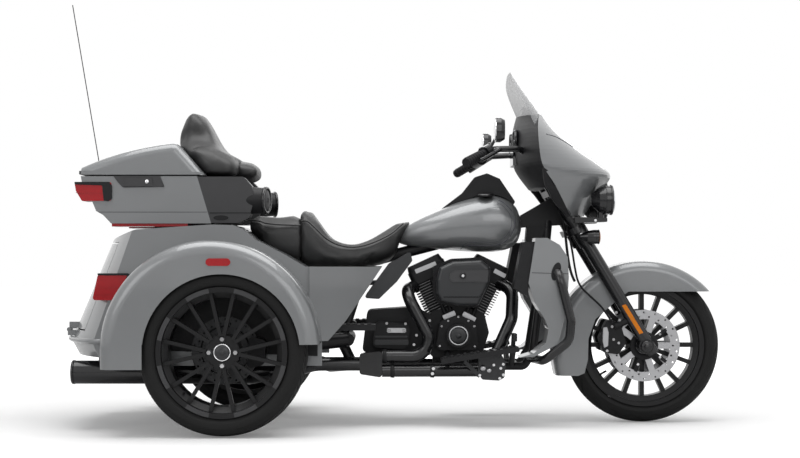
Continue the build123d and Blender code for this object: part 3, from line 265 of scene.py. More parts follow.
def makeStudio(conf, boxes):
    half = conf["floorSize"] / 2
    mesh = bpy.data.meshes.new("studioFloor")
    mesh.from_pydata([(-half, -half, 0), (half, -half, 0), (half, half, 0), (-half, half, 0)], [],
                     [(0, 1, 2, 3)])
    floor = bpy.data.objects.new("studioFloor", mesh)
    bpy.context.collection.objects.link(floor)
    material, wire = startFinish("floorPaint", Roughness=0.9, Specular_IOR_Level=0.0,
                                 Base_Color=rgba(conf["floorColour"]), Emission_Strength=1.0)
    reach = wire.node("ShaderNodeVectorMath", {"operation": "LENGTH"}, {0: wire.place}, 1)
    lift = wire.node("ShaderNodeMapRange", {"interpolation_type": "SMOOTHSTEP"},
                     {"Value": reach, "From Min": conf["liftReach"][0], "From Max": conf["liftReach"][1],
                      "To Min": conf["floorLift"][0], "To Max": conf["floorLift"][1]})
    feed(wire, "Emission Color", wire.node("ShaderNodeLightPath") * lift)
    mesh.materials.append(material)
    world = bpy.data.worlds.new("studioWorld")
    bpy.context.scene.world = world
    world.use_nodes = True
    tree = world.node_tree
    path = tree.nodes.new("ShaderNodeLightPath")
    seen = Wire(tree, path.outputs["Is Camera Ray"]) + Wire(tree, path.outputs["Is Transmission Ray"])
    seen = seen + Wire(tree, path.outputs["Is Glossy Ray"])
    strength = conf["worldLevel"] + seen * (1 - conf["worldLevel"])
    background = tree.nodes["Background"]
    background.inputs["Color"].default_value = (1, 1, 1, 1)
    tree.links.new(strength.socket, background.inputs["Strength"])
    for name, place, size, watts in boxes:
        data = bpy.data.lights.new(name, "AREA")
        data.shape = "RECTANGLE"
        data.size, data.size_y = size
        data.energy = watts
        lamp = bpy.data.objects.new(name, data)
        bpy.context.collection.objects.link(lamp)
        lamp.location = place
        lamp.rotation_euler = (Vector(conf["aim"]) - Vector(place)).to_track_quat("-Z", "Y").to_euler()


makeStudio(studio, softBoxes)

# each CAD node's finish
nodeFinish = {
    "tyreRubber": "front_tyre rear_tyre_right rear_tyre_left",
    "alloyBlack": "front_rim rear_rim_right rear_rim_left",
    "machined": "front_discs front_axle rear_axle",
    "blackPaint": "fork_legs triple_clamps handlebar hand_levers mirrors headlamp passing_lamps "
                  "exhaust_pipes mufflers engine_guard turn_signals primary_cover",
    "castBlack": "crankcase cylinders rocker_covers transmission cam_cover brake_calipers rear_calipers",
    "satinBlack": "frame swingarm shocks footboards foot_controls case_rack antenna speakers",
    "silverPaint": "front_fender fairing_outer fuel_tank rear_body trunk_door case_base case_lid "
                   "lower_fairings hinges",
    "darkGrey": "side_covers air_cleaner rear_disc_right rear_disc_left",
    "mouldedBlack": "fairing_inner tank_console lower_liners",
    "mouldedGrey": "speaker_pods",
    "rubber": "grips",
    "seatLeather": "seat passenger_backrest",
    "redLens": "case_lamps tail_lamps",
    "smokedScreen": "windshield",
}


def dressNodes(table):
    for look, names in table.items():
        for name in names.split():
            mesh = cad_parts[name].data
            mesh.materials.clear()
            mesh.materials.append(finish[look])


dressNodes(nodeFinish)
print("stage: nodes dressed")


# the right side's way out, and slot and finish of the small pieces
toRight = (0, -1, 0)
castMetal = ("black_metal", "castBlack")
greyMetal = ("black_metal", "darkGrey")
edgeMetal = ("black_metal", "finEdge")
panelMetal = ("black_metal", "mouldedGrey")
blackMoulding = ("black_plastic", "mouldedBlack")
greyMoulding = ("black_plastic", "mouldedGrey")
blankGlass = ("black_plastic", "displayGlass")
machinedSteel = ("steel", "machined")
brightSteel = ("steel", "bright")
softRubber = ("rubber", "rubber")
paintedBlack = ("black_paint", "blackPaint")
paintedSilver = ("silver_paint", "silverPaint")
redGlass = ("red_lens", "redLens")
coverLeather = ("leather", "seatLeather")


# mesh helpers
def addPiece(name, mesh, body, slot, look, smooth=True):
    piece = bpy.data.objects.new(name, mesh)
    bpy.context.collection.objects.link(piece)
    mesh.materials.append(finish[look])
    for polygon in mesh.polygons:
        polygon.use_smooth = smooth
    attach(piece, body)
    return piece


def gridMesh(name, rows, closedAcross=True, closedAlong=False, caps=False):
    count, width = len(rows), len(rows[0])
    points = [p for row in rows for p in row]
    faces = []
    for i in range(count if closedAlong else count - 1):
        for j in range(width if closedAcross else width - 1):
            a, b = i * width, (i + 1) % count * width
            k = (j + 1) % width
            faces.append((a + j, a + k, b + k, b + j))
    if caps:
        faces.append(tuple(reversed(range(width))))
        faces.append(tuple(range((count - 1) * width, count * width)))
    mesh = bpy.data.meshes.new(name)
    mesh.from_pydata(points, [], faces)
    tidyMesh(mesh)
    return mesh


def tidyMesh(mesh):
    work = bmesh.new()
    work.from_mesh(mesh)
    bmesh.ops.recalc_face_normals(work, faces=work.faces)
    work.to_mesh(mesh)
    work.free()
    mesh.update()


def lathe(outline, place, axis, steps=48):
    turn = Vector((0, 0, 1)).rotation_difference(Vector(axis)).to_matrix().to_4x4()
    move = Matrix.Translation(Vector(place)) @ turn
    rows = []
    for r, h in outline:
        rows.append([move @ Vector((r * math.cos(2 * math.pi * k / steps),
                                    r * math.sin(2 * math.pi * k / steps), h)) for k in range(steps)])
    return rows


def joinMeshes(name, meshes):
    work = bmesh.new()
    for mesh in meshes:
        work.from_mesh(mesh)
        bpy.data.meshes.remove(mesh)
    mesh = bpy.data.meshes.new(name)
    work.to_mesh(mesh)
    work.free()
    return mesh


def turnedPieces(name, outlines, body, slot, look, steps=48):
    # outlines: rows of (outline, place, axis)
    return addPiece(name, joinMeshes(name, [gridMesh(name, lathe(*row, steps), caps=True)
                                            for row in outlines]), body, slot, look)


def tubePiece(name, points, radius, body, slot, look, order=3):
    data = bpy.data.curves.new(name, "CURVE")
    data.dimensions = "3D"
    data.bevel_depth = radius
    data.bevel_resolution = 4
    data.resolution_u = 8
    spline = data.splines.new("NURBS")
    spline.points.add(len(points) - 1)
    for knot, point in zip(spline.points, points):
        knot.co = (*point, 1.0)
    spline.order_u = order
    spline.use_endpoint_u = True
    data.use_fill_caps = True
    piece = bpy.data.objects.new(name, data)
    bpy.context.collection.objects.link(piece)
    data.materials.append(finish[look])
    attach(piece, body)
    return piece


def otherSide(points):
    return [(x, -y, z) for x, y, z in points]


def hexHead(place, axis, across, height):
    r = across / math.sqrt(3)
    return lathe([(0.001, 0), (r, 0), (r, height * 0.8), (r * 0.86, height), (0.001, height)], place,
                 axis, 6)


def boltPiece(name, places, axis, across, height, body, slot="steel", look="bright"):
    meshes = [gridMesh(name, hexHead(p, axis, across, height), caps=True) for p in places]
    return addPiece(name, joinMeshes(name, meshes), body, slot, look, smooth=False)


# tyres with grooved tread
tyreKinds = {
    "front": {"radius": 0.317, "width": 0.130, "crown": 0.034, "bead": 0.2505, "beadWidth": 0.1,
              "groove": 0.0045, "turns": 40, "steps": 320, "lean": 1.6},
    "rear": {"radius": 0.320, "width": 0.210, "crown": 0.012, "bead": 0.2475, "beadWidth": 0.178,
             "groove": 0.006, "turns": 60, "steps": 360, "lean": 0.7, "rings": (0.22, 0.62),
             "ringHalf": 0.045},
}


def treadDepth(kind, conf, across, turn):
    side = abs(across)
    if side > 1.0:
        return 0.0
    if kind == "rear":
        rings = min(abs(side - ring) for ring in conf["rings"]) < conf["ringHalf"]
        slant = (turn * conf["turns"] + across * conf["lean"] * 3) % 1.0
        cut = slant < 0.16 and (side < 0.17 or side > 0.68)
        return 1.0 if rings or cut else 0.0
    wave = (turn * conf["turns"] * 0.5 + side * conf["lean"] + (0.5 if across > 0 else 0.0)) % 1.0
    return 1.0 if (wave < 0.13 and 0.10 < side < 0.92) or side < 0.025 else 0.0


def tyrePiece(name, kind, node, body):
    conf, centre = tyreKinds[kind], wheelPlaces[body]
    shoulder = conf["radius"] - conf["crown"]
    half = conf["width"] / 2
    edge = 0.43 * conf["width"]
    treadSteps, wallSteps = 64, 14
    profile = []  # radius, across, tread share
    for k in range(wallSteps + 1):
        t = k / wallSteps
        bulge = math.sin(math.pi * t)
        along = conf["bead"] + (shoulder - conf["bead"]) * t
        base = conf["beadWidth"] / 2 + (edge - conf["beadWidth"] / 2) * t
        ridge = 0.0012 if 0.24 < t < 0.30 or 0.62 < t < 0.66 else 0.0
        profile.append((along, base + (half - max(edge, conf["beadWidth"] / 2)) * bulge * 0.9 + ridge,
                        None))
    curve = (edge ** 2 + conf["crown"] ** 2) / (2 * conf["crown"])
    tread = []
    for k in range(treadSteps + 1):
        y = edge - 2 * edge * k / treadSteps
        tread.append((conf["radius"] - curve + math.sqrt(curve ** 2 - y ** 2), y, y / edge))
    outline = profile + tread[1:-1] + [(r, -y, None) for r, y, s in reversed(profile)]
    rows = []
    for step in range(conf["steps"]):
        turn = step / conf["steps"]
        c, s = math.cos(2 * math.pi * turn), math.sin(2 * math.pi * turn)
        row = []
        for radius, y, share in outline:
            r = radius - (0 if share is None else conf["groove"] * treadDepth(kind, conf, share, turn))
            row.append((centre[0] + r * c, centre[1] + y, centre[2] + r * s))
        rows.append(row)
    piece = addPiece(name, gridMesh(name, rows, closedAcross=True, closedAlong=True), body, "tyre",
                     "tyreRubber")
    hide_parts(node)
    return piece


wheelPlaces = {"front_wheel": (1.040, 0.0, 0.317), "rear_wheel_right": (-0.630, -0.570, 0.320),
               "rear_wheel_left": (-0.630, 0.570, 0.320)}
tyrePiece("frontTyre", "front", "front_tyre", "front_wheel")
tyrePiece("rearTyreRight", "rear", "rear_tyre_right", "rear_wheel_right")
tyrePiece("rearTyreLeft", "rear", "rear_tyre_left", "rear_wheel_left")
print("stage: tyres")


# seat and backrest, swollen by a short cloth run
padRun = {"steps": 20, "quality": 5, "smooth": 0.5, "passes": 6, "fill": 0.75}


def puff(piece, conf):
    # swells a closed pad a little, then keeps the result in its mesh
    remesh = piece.modifiers.new("even", "REMESH")
    remesh.mode = "VOXEL"
    remesh.voxel_size = conf["voxel"]
    applyAll(piece)
    before = [v.co.copy() for v in piece.data.vertices]
    cloth = piece.modifiers.new("swell", "CLOTH")
    cloth.settings.use_pressure = True
    cloth.settings.uniform_pressure_force = conf["pressure"]
    cloth.settings.effector_weights.gravity = 0.0
    cloth.settings.quality = padRun["quality"]
    scene = bpy.context.scene
    for step in range(1, padRun["steps"] + 1):
        scene.frame_set(step)
    applyAll(piece)
    scene.frame_set(1)
    for vertex, start in zip(piece.data.vertices, before):
        shift = vertex.co - start
        if shift.length > conf["cap"]:
            vertex.co = start + shift * (conf["cap"] / shift.length)


def applyAll(piece):
    shaped = bpy.data.meshes.new_from_object(piece.evaluated_get(bpy.context.evaluated_depsgraph_get()))
    old = piece.data
    piece.modifiers.clear()
    piece.data = shaped
    bpy.data.meshes.remove(old)


def finishPad(piece, node):
    smooth = piece.modifiers.new("settle", "SMOOTH")
    smooth.factor = padRun["smooth"]
    smooth.iterations = padRun["passes"]
    applyAll(piece)
    for polygon in piece.data.polygons:
        polygon.use_smooth = True
    piece.data.materials.clear()
    piece.data.materials.append(finish["seatLeather"])
    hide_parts(node)


def roundedSquare(low, high, half, power, steps=56):
    # (across, along) points of a square with rounded corners
    points = []
    for k in range(steps):
        c, s = math.cos(2 * math.pi * k / steps), math.sin(2 * math.pi * k / steps)
        along = (low + high) / 2 + (high - low) / 2 * math.copysign(abs(s) ** (2 / power), s)
        points.append((half * math.copysign(abs(c) ** (2 / power), c), along))
    return points


def roundedSection(x, low, high, half, power, dish, steps=56):
    middle = (low + high) / 2
    return [(x, y, z - dish * (1 - (y / half) ** 2) if z > middle else z)
            for y, z in roundedSquare(low, high, half, power, steps)]


def smoothRows(rows, steps):
    # Catmull-Rom steps between the rows of a table
    dense = []
    last = len(rows) - 1
    for n in range(last):
        a, b, c, d = rows[max(n - 1, 0)], rows[n], rows[n + 1], rows[min(n + 2, last)]
        for k in range(steps):
            t = k / steps
            dense.append([q + 0.5 * t * (r - p + t * (2 * p - 5 * q + 4 * r - s
                                                      + t * (3 * (q - r) + s - p))) for p, q, r,
                          s in zip(a, b, c, d)])
    return dense + [list(rows[-1])]


seatShape = {"voxel": 0.0055, "pressure": 3.0, "cap": 0.008}
riderRows = [  # x, low, high, half width, squareness, dish
    (0.077, 0.800, 0.831, 0.040, 2.8, 0.000),
    (0.056, 0.776, 0.826, 0.070, 2.8, 0.000),
    (0.036, 0.742, 0.814, 0.088, 3.0, 0.002),
    (0.018, 0.690, 0.804, 0.100, 3.0, 0.003),
    (-0.020, 0.660, 0.782, 0.129, 3.2, 0.006),
    (-0.090, 0.646, 0.747, 0.160, 3.4, 0.012),
    (-0.160, 0.636, 0.735, 0.182, 3.4, 0.016),
    (-0.240, 0.634, 0.764, 0.186, 3.4, 0.018),
    (-0.300, 0.634, 0.838, 0.178, 3.2, 0.014),
    (-0.336, 0.636, 0.880, 0.168, 3.0, 0.006),
    (-0.356, 0.644, 0.868, 0.160, 3.0, 0.004),
]
pillionRows = [
    (-0.360, 0.648, 0.846, 0.166, 3.2, 0.002),
    (-0.392, 0.658, 0.846, 0.172, 3.4, 0.006),
    (-0.450, 0.680, 0.842, 0.174, 3.4, 0.010),
    (-0.500, 0.706, 0.842, 0.168, 3.4, 0.006),
    (-0.522, 0.752, 0.842, 0.166, 3.4, 0.004),
    (-0.544, 0.774, 0.840, 0.162, 3.2, 0.002),
    (-0.566, 0.794, 0.836, 0.156, 3.0, 0.000),
]
lumbarRows = [
    (-0.650, 1.000, 1.072, 0.124, 3.0, 0.000),
    (-0.606, 0.986, 1.066, 0.142, 3.0, 0.000),
    (-0.562, 0.988, 1.060, 0.144, 2.8, 0.000),
    (-0.538, 1.002, 1.048, 0.132, 2.6, 0.000),
]


def padPiece(name, rows, conf, node, body):
    sections = [roundedSection(*row) for row in smoothRows(rows, 5)]
    piece = addPiece(name, gridMesh(name, sections, caps=True), body, *coverLeather)
    puff(piece, conf)
    finishPad(piece, node)


padPiece("riderSeat", riderRows, seatShape, "seat", "chassis")
padPiece("pillionSeat", pillionRows, seatShape, "seat", "chassis")
padPiece("lumbarPad", lumbarRows, seatShape, "passenger_backrest", "topcase_lid")

welts = {"across": 0.985, "rise": 0.80, "radius": 0.0035}


def weltLine(rows, side):
    # along a cushion's side, near its top edge
    return [(x, half * welts["across"] * side, low + (high - low) * welts["rise"])
            for x, low, high, half, power, dish in rows]


for side, word in ((1, "Left"), (-1, "Right")):
    for name, rows in (("riderWelt", riderRows[1:]), ("pillionWelt", pillionRows)):
        tubePiece(name + word, weltLine(rows, side), welts["radius"], "chassis", *coverLeather)

backShape = {"voxel": 0.006, "pressure": 3.0, "cap": 0.010}
backRows = [  # z, rear x, front x, half width, squareness
    (1.012, -0.742, -0.600, 0.286, 4.0),
    (1.040, -0.770, -0.596, 0.290, 4.0),
    (1.066, -0.795, -0.612, 0.284, 3.6),
    (1.098, -0.826, -0.668, 0.262, 3.4),
    (1.128, -0.855, -0.695, 0.200, 3.2),
    (1.170, -0.850, -0.718, 0.150, 3.2),
    (1.220, -0.832, -0.744, 0.140, 3.2),
    (1.255, -0.818, -0.768, 0.118, 2.8),
    (1.268, -0.804, -0.784, 0.090, 2.4),
]


def backrestPiece(rows, conf):
    sections = []
    for z, rear, front, half, power in smoothRows(rows, 4):
        sections.append([(x, y, z) for y, x in roundedSquare(rear, front, half, power)])
    mesh = gridMesh("backrestPad", sections, caps=True)
    piece = addPiece("backrestPad", mesh, "topcase_lid", *coverLeather)
    puff(piece, conf)
    finishPad(piece, "passenger_backrest")


backrestPiece(backRows, backShape)
print("stage: soft pads")


# small-part helpers; side-view outlines are (X, Z) in millimetres
def prismMesh(name, outline, yLow, yHigh, bevel):
    work = bmesh.new()
    ring = [work.verts.new((x * mm, yHigh * mm, z * mm)) for x, z in outline]
    face = work.faces.new(ring)
    grown = bmesh.ops.extrude_face_region(work, geom=[face])
    for item in grown["geom"]:
        if isinstance(item, bmesh.types.BMVert):
            item.co.y = yLow * mm
    bmesh.ops.recalc_face_normals(work, faces=work.faces)
    if bevel > 0:
        bmesh.ops.bevel(work, geom=work.edges[:], offset=bevel * mm, segments=2, affect="EDGES",
                        clamp_overlap=True)
    mesh = bpy.data.meshes.new(name)
    work.to_mesh(mesh)
    work.free()
    return mesh


def prismPiece(name, outlines, yLow, yHigh, body, slot, look, bevel=0.6, both=False):
    meshes = [prismMesh(name, outline, yLow, yHigh, bevel) for outline in outlines]
    if both:
        meshes += [prismMesh(name, outline, -yHigh, -yLow, bevel) for outline in outlines]
    return addPiece(name, joinMeshes(name, meshes), body, slot, look, smooth=False)


def oval(x, z, half, rise, lean=0):
    turns = [2 * math.pi * k / 24 for k in range(24)]
    return [(x + half * math.cos(a) + lean * math.sin(a), z + rise * math.sin(a)) for a in turns]


def roundPoint(x, z, reach, degrees):
    return x + reach * math.cos(math.radians(degrees)), z + reach * math.sin(math.radians(degrees))


def slab(x0, z0, x1, z1):
    return [(x0, z0), (x1, z0), (x1, z1), (x0, z1)]


def barOutline(start, end, half):
    run = Vector((end[0] - start[0], end[1] - start[1])).normalized() * half
    side = Vector((-run.y, run.x))
    return [(start[0] + side.x, start[1] + side.y), (start[0] - side.x, start[1] - side.y),
            (end[0] - side.x, end[1] - side.y), (end[0] + side.x, end[1] + side.y)]


def metres(points):
    return [(x * mm, y * mm, z * mm) for x, y, z in points]


def hoop(outer, inner, height):
    # flat ring with eased edges, standing on its place
    ease = height * 0.3
    return [(inner, 0), (outer, 0), (outer, height - ease), (outer - ease, height),
            (inner + ease, height), (inner, height - ease)]


def button(radius, height):
    return [(0.0005, 0), (radius, 0), (radius, height * 0.6), (radius * 0.8, height), (0.0005, height)]


def hoopPiece(name, rows, body, slot, look, steps=40):
    # rows of (outer, inner, height, place, axis)
    meshes = [gridMesh(name, lathe(hoop(a, b, h), place, axis, steps), closedAlong=True)
              for a, b, h, place, axis in rows]
    return addPiece(name, joinMeshes(name, meshes), body, slot, look)


def bothSides(rows):
    flip = Vector((1, -1, 1))
    return rows + [(*row[:-2], tuple(Vector(row[-2]) * flip), tuple(Vector(row[-1]) * flip))
                   for row in rows]


def laidOn(piece, points, lift):
    # side-view points laid on a piece's right side
    toLocal = piece.matrix_world.inverted()
    graph = bpy.context.evaluated_depsgraph_get()
    laid = []
    for x, z in points:
        hit, place, normal, face = piece.ray_cast(toLocal @ Vector((x * mm, -2.0, z * mm)),
                                                  toLocal.to_3x3() @ Vector((0, 1, 0)), depsgraph=graph)
        if hit:
            laid.append(tuple(piece.matrix_world @ (place + normal * lift)))
    return laid


def stripePiece(name, piece, points, width, body):
    dense = [tuple(row) for row in smoothRows(points, 8)]
    path = laidOn(piece, dense, width * 0.2)
    for side, line in (("Right", path), ("Left", otherSide(path))):
        tubePiece(name + side, line, width, body, "black_paint", "pinStripe")


# tank skin, a smooth drop shape over the solid
tankRows = [  # x, low, high, half width, squareness, dish
    (0.034, 0.746, 0.770, 0.020, 2.2, 0.000),
    (0.046, 0.734, 0.790, 0.044, 2.3, 0.000),
    (0.085, 0.724, 0.820, 0.076, 2.4, 0.000),
    (0.150, 0.716, 0.854, 0.108, 2.4, 0.000),
    (0.260, 0.706, 0.900, 0.141, 2.4, 0.000),
    (0.350, 0.701, 0.926, 0.152, 2.4, 0.000),
    (0.430, 0.701, 0.933, 0.153, 2.4, 0.000),
    (0.490, 0.713, 0.912, 0.140, 2.4, 0.000),
    (0.524, 0.738, 0.880, 0.110, 2.3, 0.000),
    (0.540, 0.776, 0.834, 0.058, 2.2, 0.000),
]


def tankPiece(rows):
    sections = [roundedSection(*row, 72) for row in smoothRows(rows, 6)]
    piece = addPiece("tankSkin", gridMesh("tankSkin", sections, caps=True), "chassis", *paintedSilver)
    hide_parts("fuel_tank")
    return piece


tankSkin = tankPiece(tankRows)

# stripes on the tank and the fairing
tankStripe = [(439, 912), (468, 896), (500, 856), (506, 798), (470, 742), (415, 726), (318, 726),
              (291, 712)]
tankStripeInner = [(436, 900), (460, 886), (488, 850), (493, 800), (462, 754), (412, 737), (322, 737),
                   (296, 722)]
stripePiece("tankStripe", tankSkin, tankStripe, 0.0016, "chassis")
stripePiece("tankStripeInner", tankSkin, tankStripeInner, 0.0009, "chassis")
fairingStripe = [(622, 1166), (660, 1160), (700, 1144), (740, 1122)]
stripePiece("fairingStripe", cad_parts["fairing_outer"], fairingStripe, 0.0016, "steering")
print("stage: stripes")

# lamps: place of the face, radius, look of the lens
lamps = {
    "headlamp": {"place": (0.884, 0.0, 0.915), "radius": 0.088, "lens": "clearLens"},
    "passing": {"place": (0.890, 0.190, 0.908), "radius": 0.058, "lens": "clearLens"},
    "signal": {"place": (0.842, 0.176, 0.760), "radius": 0.028, "lens": "amberLens"},
}


def lampPieces(name, conf, side):
    r, place = conf["radius"], (conf["place"][0], side * conf["place"][1], conf["place"][2])
    dome = [(r * 0.97, -0.002), (r * 0.93, r * 0.10), (r * 0.75, r * 0.20), (r * 0.4, r * 0.27),
            (0.0005, r * 0.29)]
    turnedPieces(name + "Lens", [(dome, place, (1, 0, 0))], "steering", "smoked", conf["lens"])
    rims = [(r * 1.05, r * 0.93, r * 0.16, (place[0] - r * 0.06, *place[1:]), (1, 0, 0)),
            (r * 1.03, r * 0.96, r * 0.06, (place[0] - r * 0.42, *place[1:]), (1, 0, 0))]
    hoopPiece(name + "Rim", rims, "steering", *paintedBlack)


lampPieces("headlamp", lamps["headlamp"], 1)
for pair in ("passing", "signal"):
    lampPieces(pair + "Right", lamps[pair], -1)
    lampPieces(pair + "Left", lamps[pair], 1)
boltPiece("lampBarBolts", metres([(826, -205, 826), (826, 205, 826)]), toRight, 0.011, 0.005, "steering")

# black cap that closes the fairing's lower back edge: z, rear x, front x, half width
fairingCap = [(1029, 600, 604, 376), (1002, 602, 640, 361), (963, 612, 668, 329), (944, 626, 676, 313),
              (893, 658, 702, 252), (870, 684, 716, 224), (851, 702, 729, 199), (840, 712, 720, 190)]


def capPiece(rows):
    meshes = []
    for side in (-1, 1):
        sections = []
        for z, rear, front, half in smoothRows(rows, 4):
            corners = ((front, half + 3 - (front - rear) * 0.28), (rear, half + 3), (rear, half - 22),
                       (front, half - 30))
            sections.append([(x * mm, side * y * mm, z * mm) for x, y in corners])
        meshes.append(gridMesh("fairingCap", sections, caps=True))
    addPiece("fairingCap", joinMeshes("fairingCap", meshes), "steering", *blackMoulding, smooth=False)


capPiece(fairingCap)

# dash: gauges and a blank display on the panel behind the screen
dash = {"gauges": [(-0.105, 1.150, 0.046), (0.105, 1.150, 0.046)],
        "display": (0.085, 1.052, 1.118)}


def dashPieces(conf):
    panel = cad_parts["fairing_inner"]
    toLocal = panel.matrix_world.inverted()
    graph = bpy.context.evaluated_depsgraph_get()

    def backAt(y, z):
        hit, place, normal, face = panel.ray_cast(toLocal @ Vector((0.0, y, z)),
                                                  toLocal.to_3x3() @ Vector((1, 0, 0)), depsgraph=graph)
        return (panel.matrix_world @ place).x
    rims, faces, hands = [], [], []
    for y, z, r in conf["gauges"]:
        place = (backAt(y, z) + 0.004, y, z)
        rims.append((r, r * 0.86, 0.014, place, (-1, 0, 0)))
        faces.append((button(r * 0.88, 0.006), place, (-1, 0, 0)))
        hands.append((button(r * 0.12, 0.012), place, (-1, 0, 0)))
    hoopPiece("gaugeRims", rims, "steering", *paintedBlack)
    turnedPieces("gaugeFaces", faces, "steering", *blankGlass)
    turnedPieces("gaugeHubs", hands, "steering", *brightSteel, 16)
    half, low, high = conf["display"]
    front = min(backAt(0, low), backAt(0, high)) - 0.004
    prismPiece("dashDisplay", [slab(front / mm, low / mm, front / mm + 24, high / mm)], -half / mm,
               half / mm, "steering", *blankGlass, 2.0)


dashPieces(dash)

# mirrors' glass, switch buttons and grip rings
mirrorGlass = {"place": (0.410, 0.420, 1.172), "half": (0.056, 0.040)}


def mirrorPieces(conf):
    meshes = []
    x, y, z = conf["place"]
    for side in (-1, 1):
        rows = []
        for share, depth in ((1.0, 0.004), (1.0, -0.001), (0.96, -0.002), (0.01, -0.002)):
            ring = [roundPoint(0, 0, share, 9 * k) for k in range(40)]
            rows.append([(x + depth, side * y + conf["half"][0] * c, z + conf["half"][1] * s) for c,
                         s in ring])
        meshes.append(gridMesh("mirrorGlass", rows, caps=True))
    addPiece("mirrorGlass", joinMeshes("mirrorGlass", meshes), "steering", *brightSteel)


mirrorPieces(mirrorGlass)
gripEnd, gripRoot = Vector((0.300, -0.430, 1.047)), Vector((0.410, -0.262, 1.108))
gripAxis = (gripRoot - gripEnd).normalized()
gripRings = [(0.0195, 0.0176, 0.005, tuple(gripEnd + gripAxis * (0.004 + 0.018 * k)), tuple(gripAxis))
             for k in range(7)]
hoopPiece("gripRings", bothSides(gripRings), "steering", *softRubber)
buttonRoot = gripEnd + Vector((-0.018, -0.008, 0.014))
buttonPlaces = [(button(0.006, 0.006), tuple(buttonRoot + gripAxis * (0.146 + 0.014 * k)),
                 (-0.7, -0.3, 0.6)) for k in range(3)]
turnedPieces("switchButtons", bothSides(buttonPlaces), "steering", *greyMoulding, 20)
print("stage: front controls")

# front wheel: reflector strip, axle caps, caliper cover, disc carriers, bolts, hose, cable, valve
prismPiece("forkReflector", [[(939, 483), (956, 488), (1026, 373), (1011, 366)]], -154, -148, "steering",
           "amber_lens", "amberLens", 1.2, both=True)
frontHub = wheelPlaces["front_wheel"]
axleCaps = [(button(0.024, 0.012), (frontHub[0], -0.152, frontHub[2]), toRight),
            (button(0.012, 0.020), (frontHub[0], -0.158, frontHub[2]), toRight)]
turnedPieces("axleCaps", bothSides(axleCaps), "steering", *paintedBlack, 24)
prismPiece("caliperCover", [[(868, 392), (884, 394), (890, 372), (888, 318), (872, 310), (866, 340)]],
           -123, -116, "steering", *machinedSteel, 1.5, both=True)
caliperBolts = [(904, -118, 396), (910, -118, 344), (884, -118, 298), (931, -118, 330), (917, -148, 455),
                (930, -149, 424)]
boltPiece("caliperBolts", metres(caliperBolts) + otherSide(metres(caliperBolts)), toRight, 0.012,
          0.006, "steering")
carrier = {"hub": (0.058, 0.033), "arm": (46.0, 112.0), "armHalf": 7.0, "face": (-82.5, -79.5)}
hoopPiece("discCarriers", bothSides([(*carrier["hub"], 0.004, (frontHub[0], -0.0795, frontHub[2]),
                                      toRight)]), "front_wheel", *castMetal)
armAngles = range(36, 396, 72)
carrierArms = []
for angle in armAngles:
    ends = [roundPoint(frontHub[0] / mm, frontHub[2] / mm, reach, angle) for reach in carrier["arm"]]
    carrierArms.append(barOutline(*ends, carrier["armHalf"]))
prismPiece("carrierArms", carrierArms, *carrier["face"], "front_wheel", *castMetal, 0.6, both=True)
discBolts = {"circle": 0.080, "face": 0.080, "across": 0.011, "height": 0.004}
boltPlaces = []
for angle in armAngles:
    x, z = roundPoint(frontHub[0], frontHub[2], discBolts["circle"], angle)
    boltPlaces += [(x, -discBolts["face"], z), (x, discBolts["face"], z)]
boltPiece("discBolts", boltPlaces, toRight, discBolts["across"], discBolts["height"], "front_wheel")
hoseRoute = metres([(716, -92, 838), (742, -108, 720), (750, -136, 640), (764, -150, 566),
                    (812, -150, 520), (868, -146, 470), (905, -126, 410)])
tubePiece("brakeHose", hoseRoute, 0.0042, "steering", *softRubber)
cableRoute = metres([(700, -60, 900), (716, -84, 800), (724, -96, 700), (736, -120, 610),
                     (752, -128, 580)])
tubePiece("mainCable", cableRoute, 0.0055, "steering", *softRubber)
tubePiece("frontValve", metres([(866, -30, 195), (878, -38, 204), (889, -48, 211)]), 0.004, "front_wheel",
          *softRubber)
pinchBolts = metres([(775, -156, 770), (788, -156, 748)])
boltPiece("forkPinch", pinchBolts + otherSide(pinchBolts), toRight, 0.013, 0.006, "steering")

# rear wheels: lug nuts, cap, rim pads, valve
rearFace = {"lugs": 0.050, "hubY": 0.062, "rimY": 0.0972, "pads": (0.2285, 0.2455)}


def rimPad(centre, side, middle, spread, radii):
    rows = []
    steps = 10
    for k in range(steps + 1):
        a = math.radians(middle - spread / 2 + spread * k / steps)
        row = []
        for r, out in ((radii[0], 0.0), (radii[1], 0.0), (radii[1], 0.002), (radii[0], 0.002)):
            row.append((centre[0] + r * math.cos(a), centre[1] + side * (rearFace["rimY"] + out),
                        centre[2] + r * math.sin(a)))
        rows.append(row)
    return gridMesh("rimPad", rows, caps=True)


for body, side in (("rear_wheel_right", -1), ("rear_wheel_left", 1)):
    centre = wheelPlaces[body]
    word = "Right" if side < 0 else "Left"
    out = (0, side, 0)
    face = centre[1] + side * rearFace["hubY"]
    middle = (centre[0], face, centre[2])
    lugs = []
    for angle in range(0, 360, 90):
        x, z = roundPoint(centre[0], centre[2], rearFace["lugs"], angle)
        lugs.append((x, face, z))
    turnedPieces("lugSeats" + word, [(button(0.012, 0.003), p, out) for p in lugs], body, *greyMetal, 20)
    boltPiece("lugNuts" + word, lugs, out, 0.017, 0.014, body)
    hoopPiece("hubRing" + word, [(0.034, 0.027, 0.010, middle, out)], body, *brightSteel)
    turnedPieces("hubCap" + word, [(button(0.028, 0.013), middle, out),
                                   (button(0.012, 0.016), middle, out)], body, *greyMetal)
    pads = [rimPad(centre, side, 22.5 + 45.0 * k, 22.0, rearFace["pads"]) for k in range(8)]
    addPiece("rimPads" + word, joinMeshes("rimPads" + word, pads), body, *panelMetal, smooth=False)
    valve = [(centre[0] - 0.150, face - side * 0.02, centre[2] - 0.160),
             (centre[0] - 0.138, face + side * 0.004, centre[2] - 0.148)]
    tubePiece("rearValve" + word, valve, 0.004, body, *softRubber, 2)
# flat black half-discs on the inner walls of the rear wheel wells, behind the wheels
well = {"x": -630, "z": 320, "radius": 352}
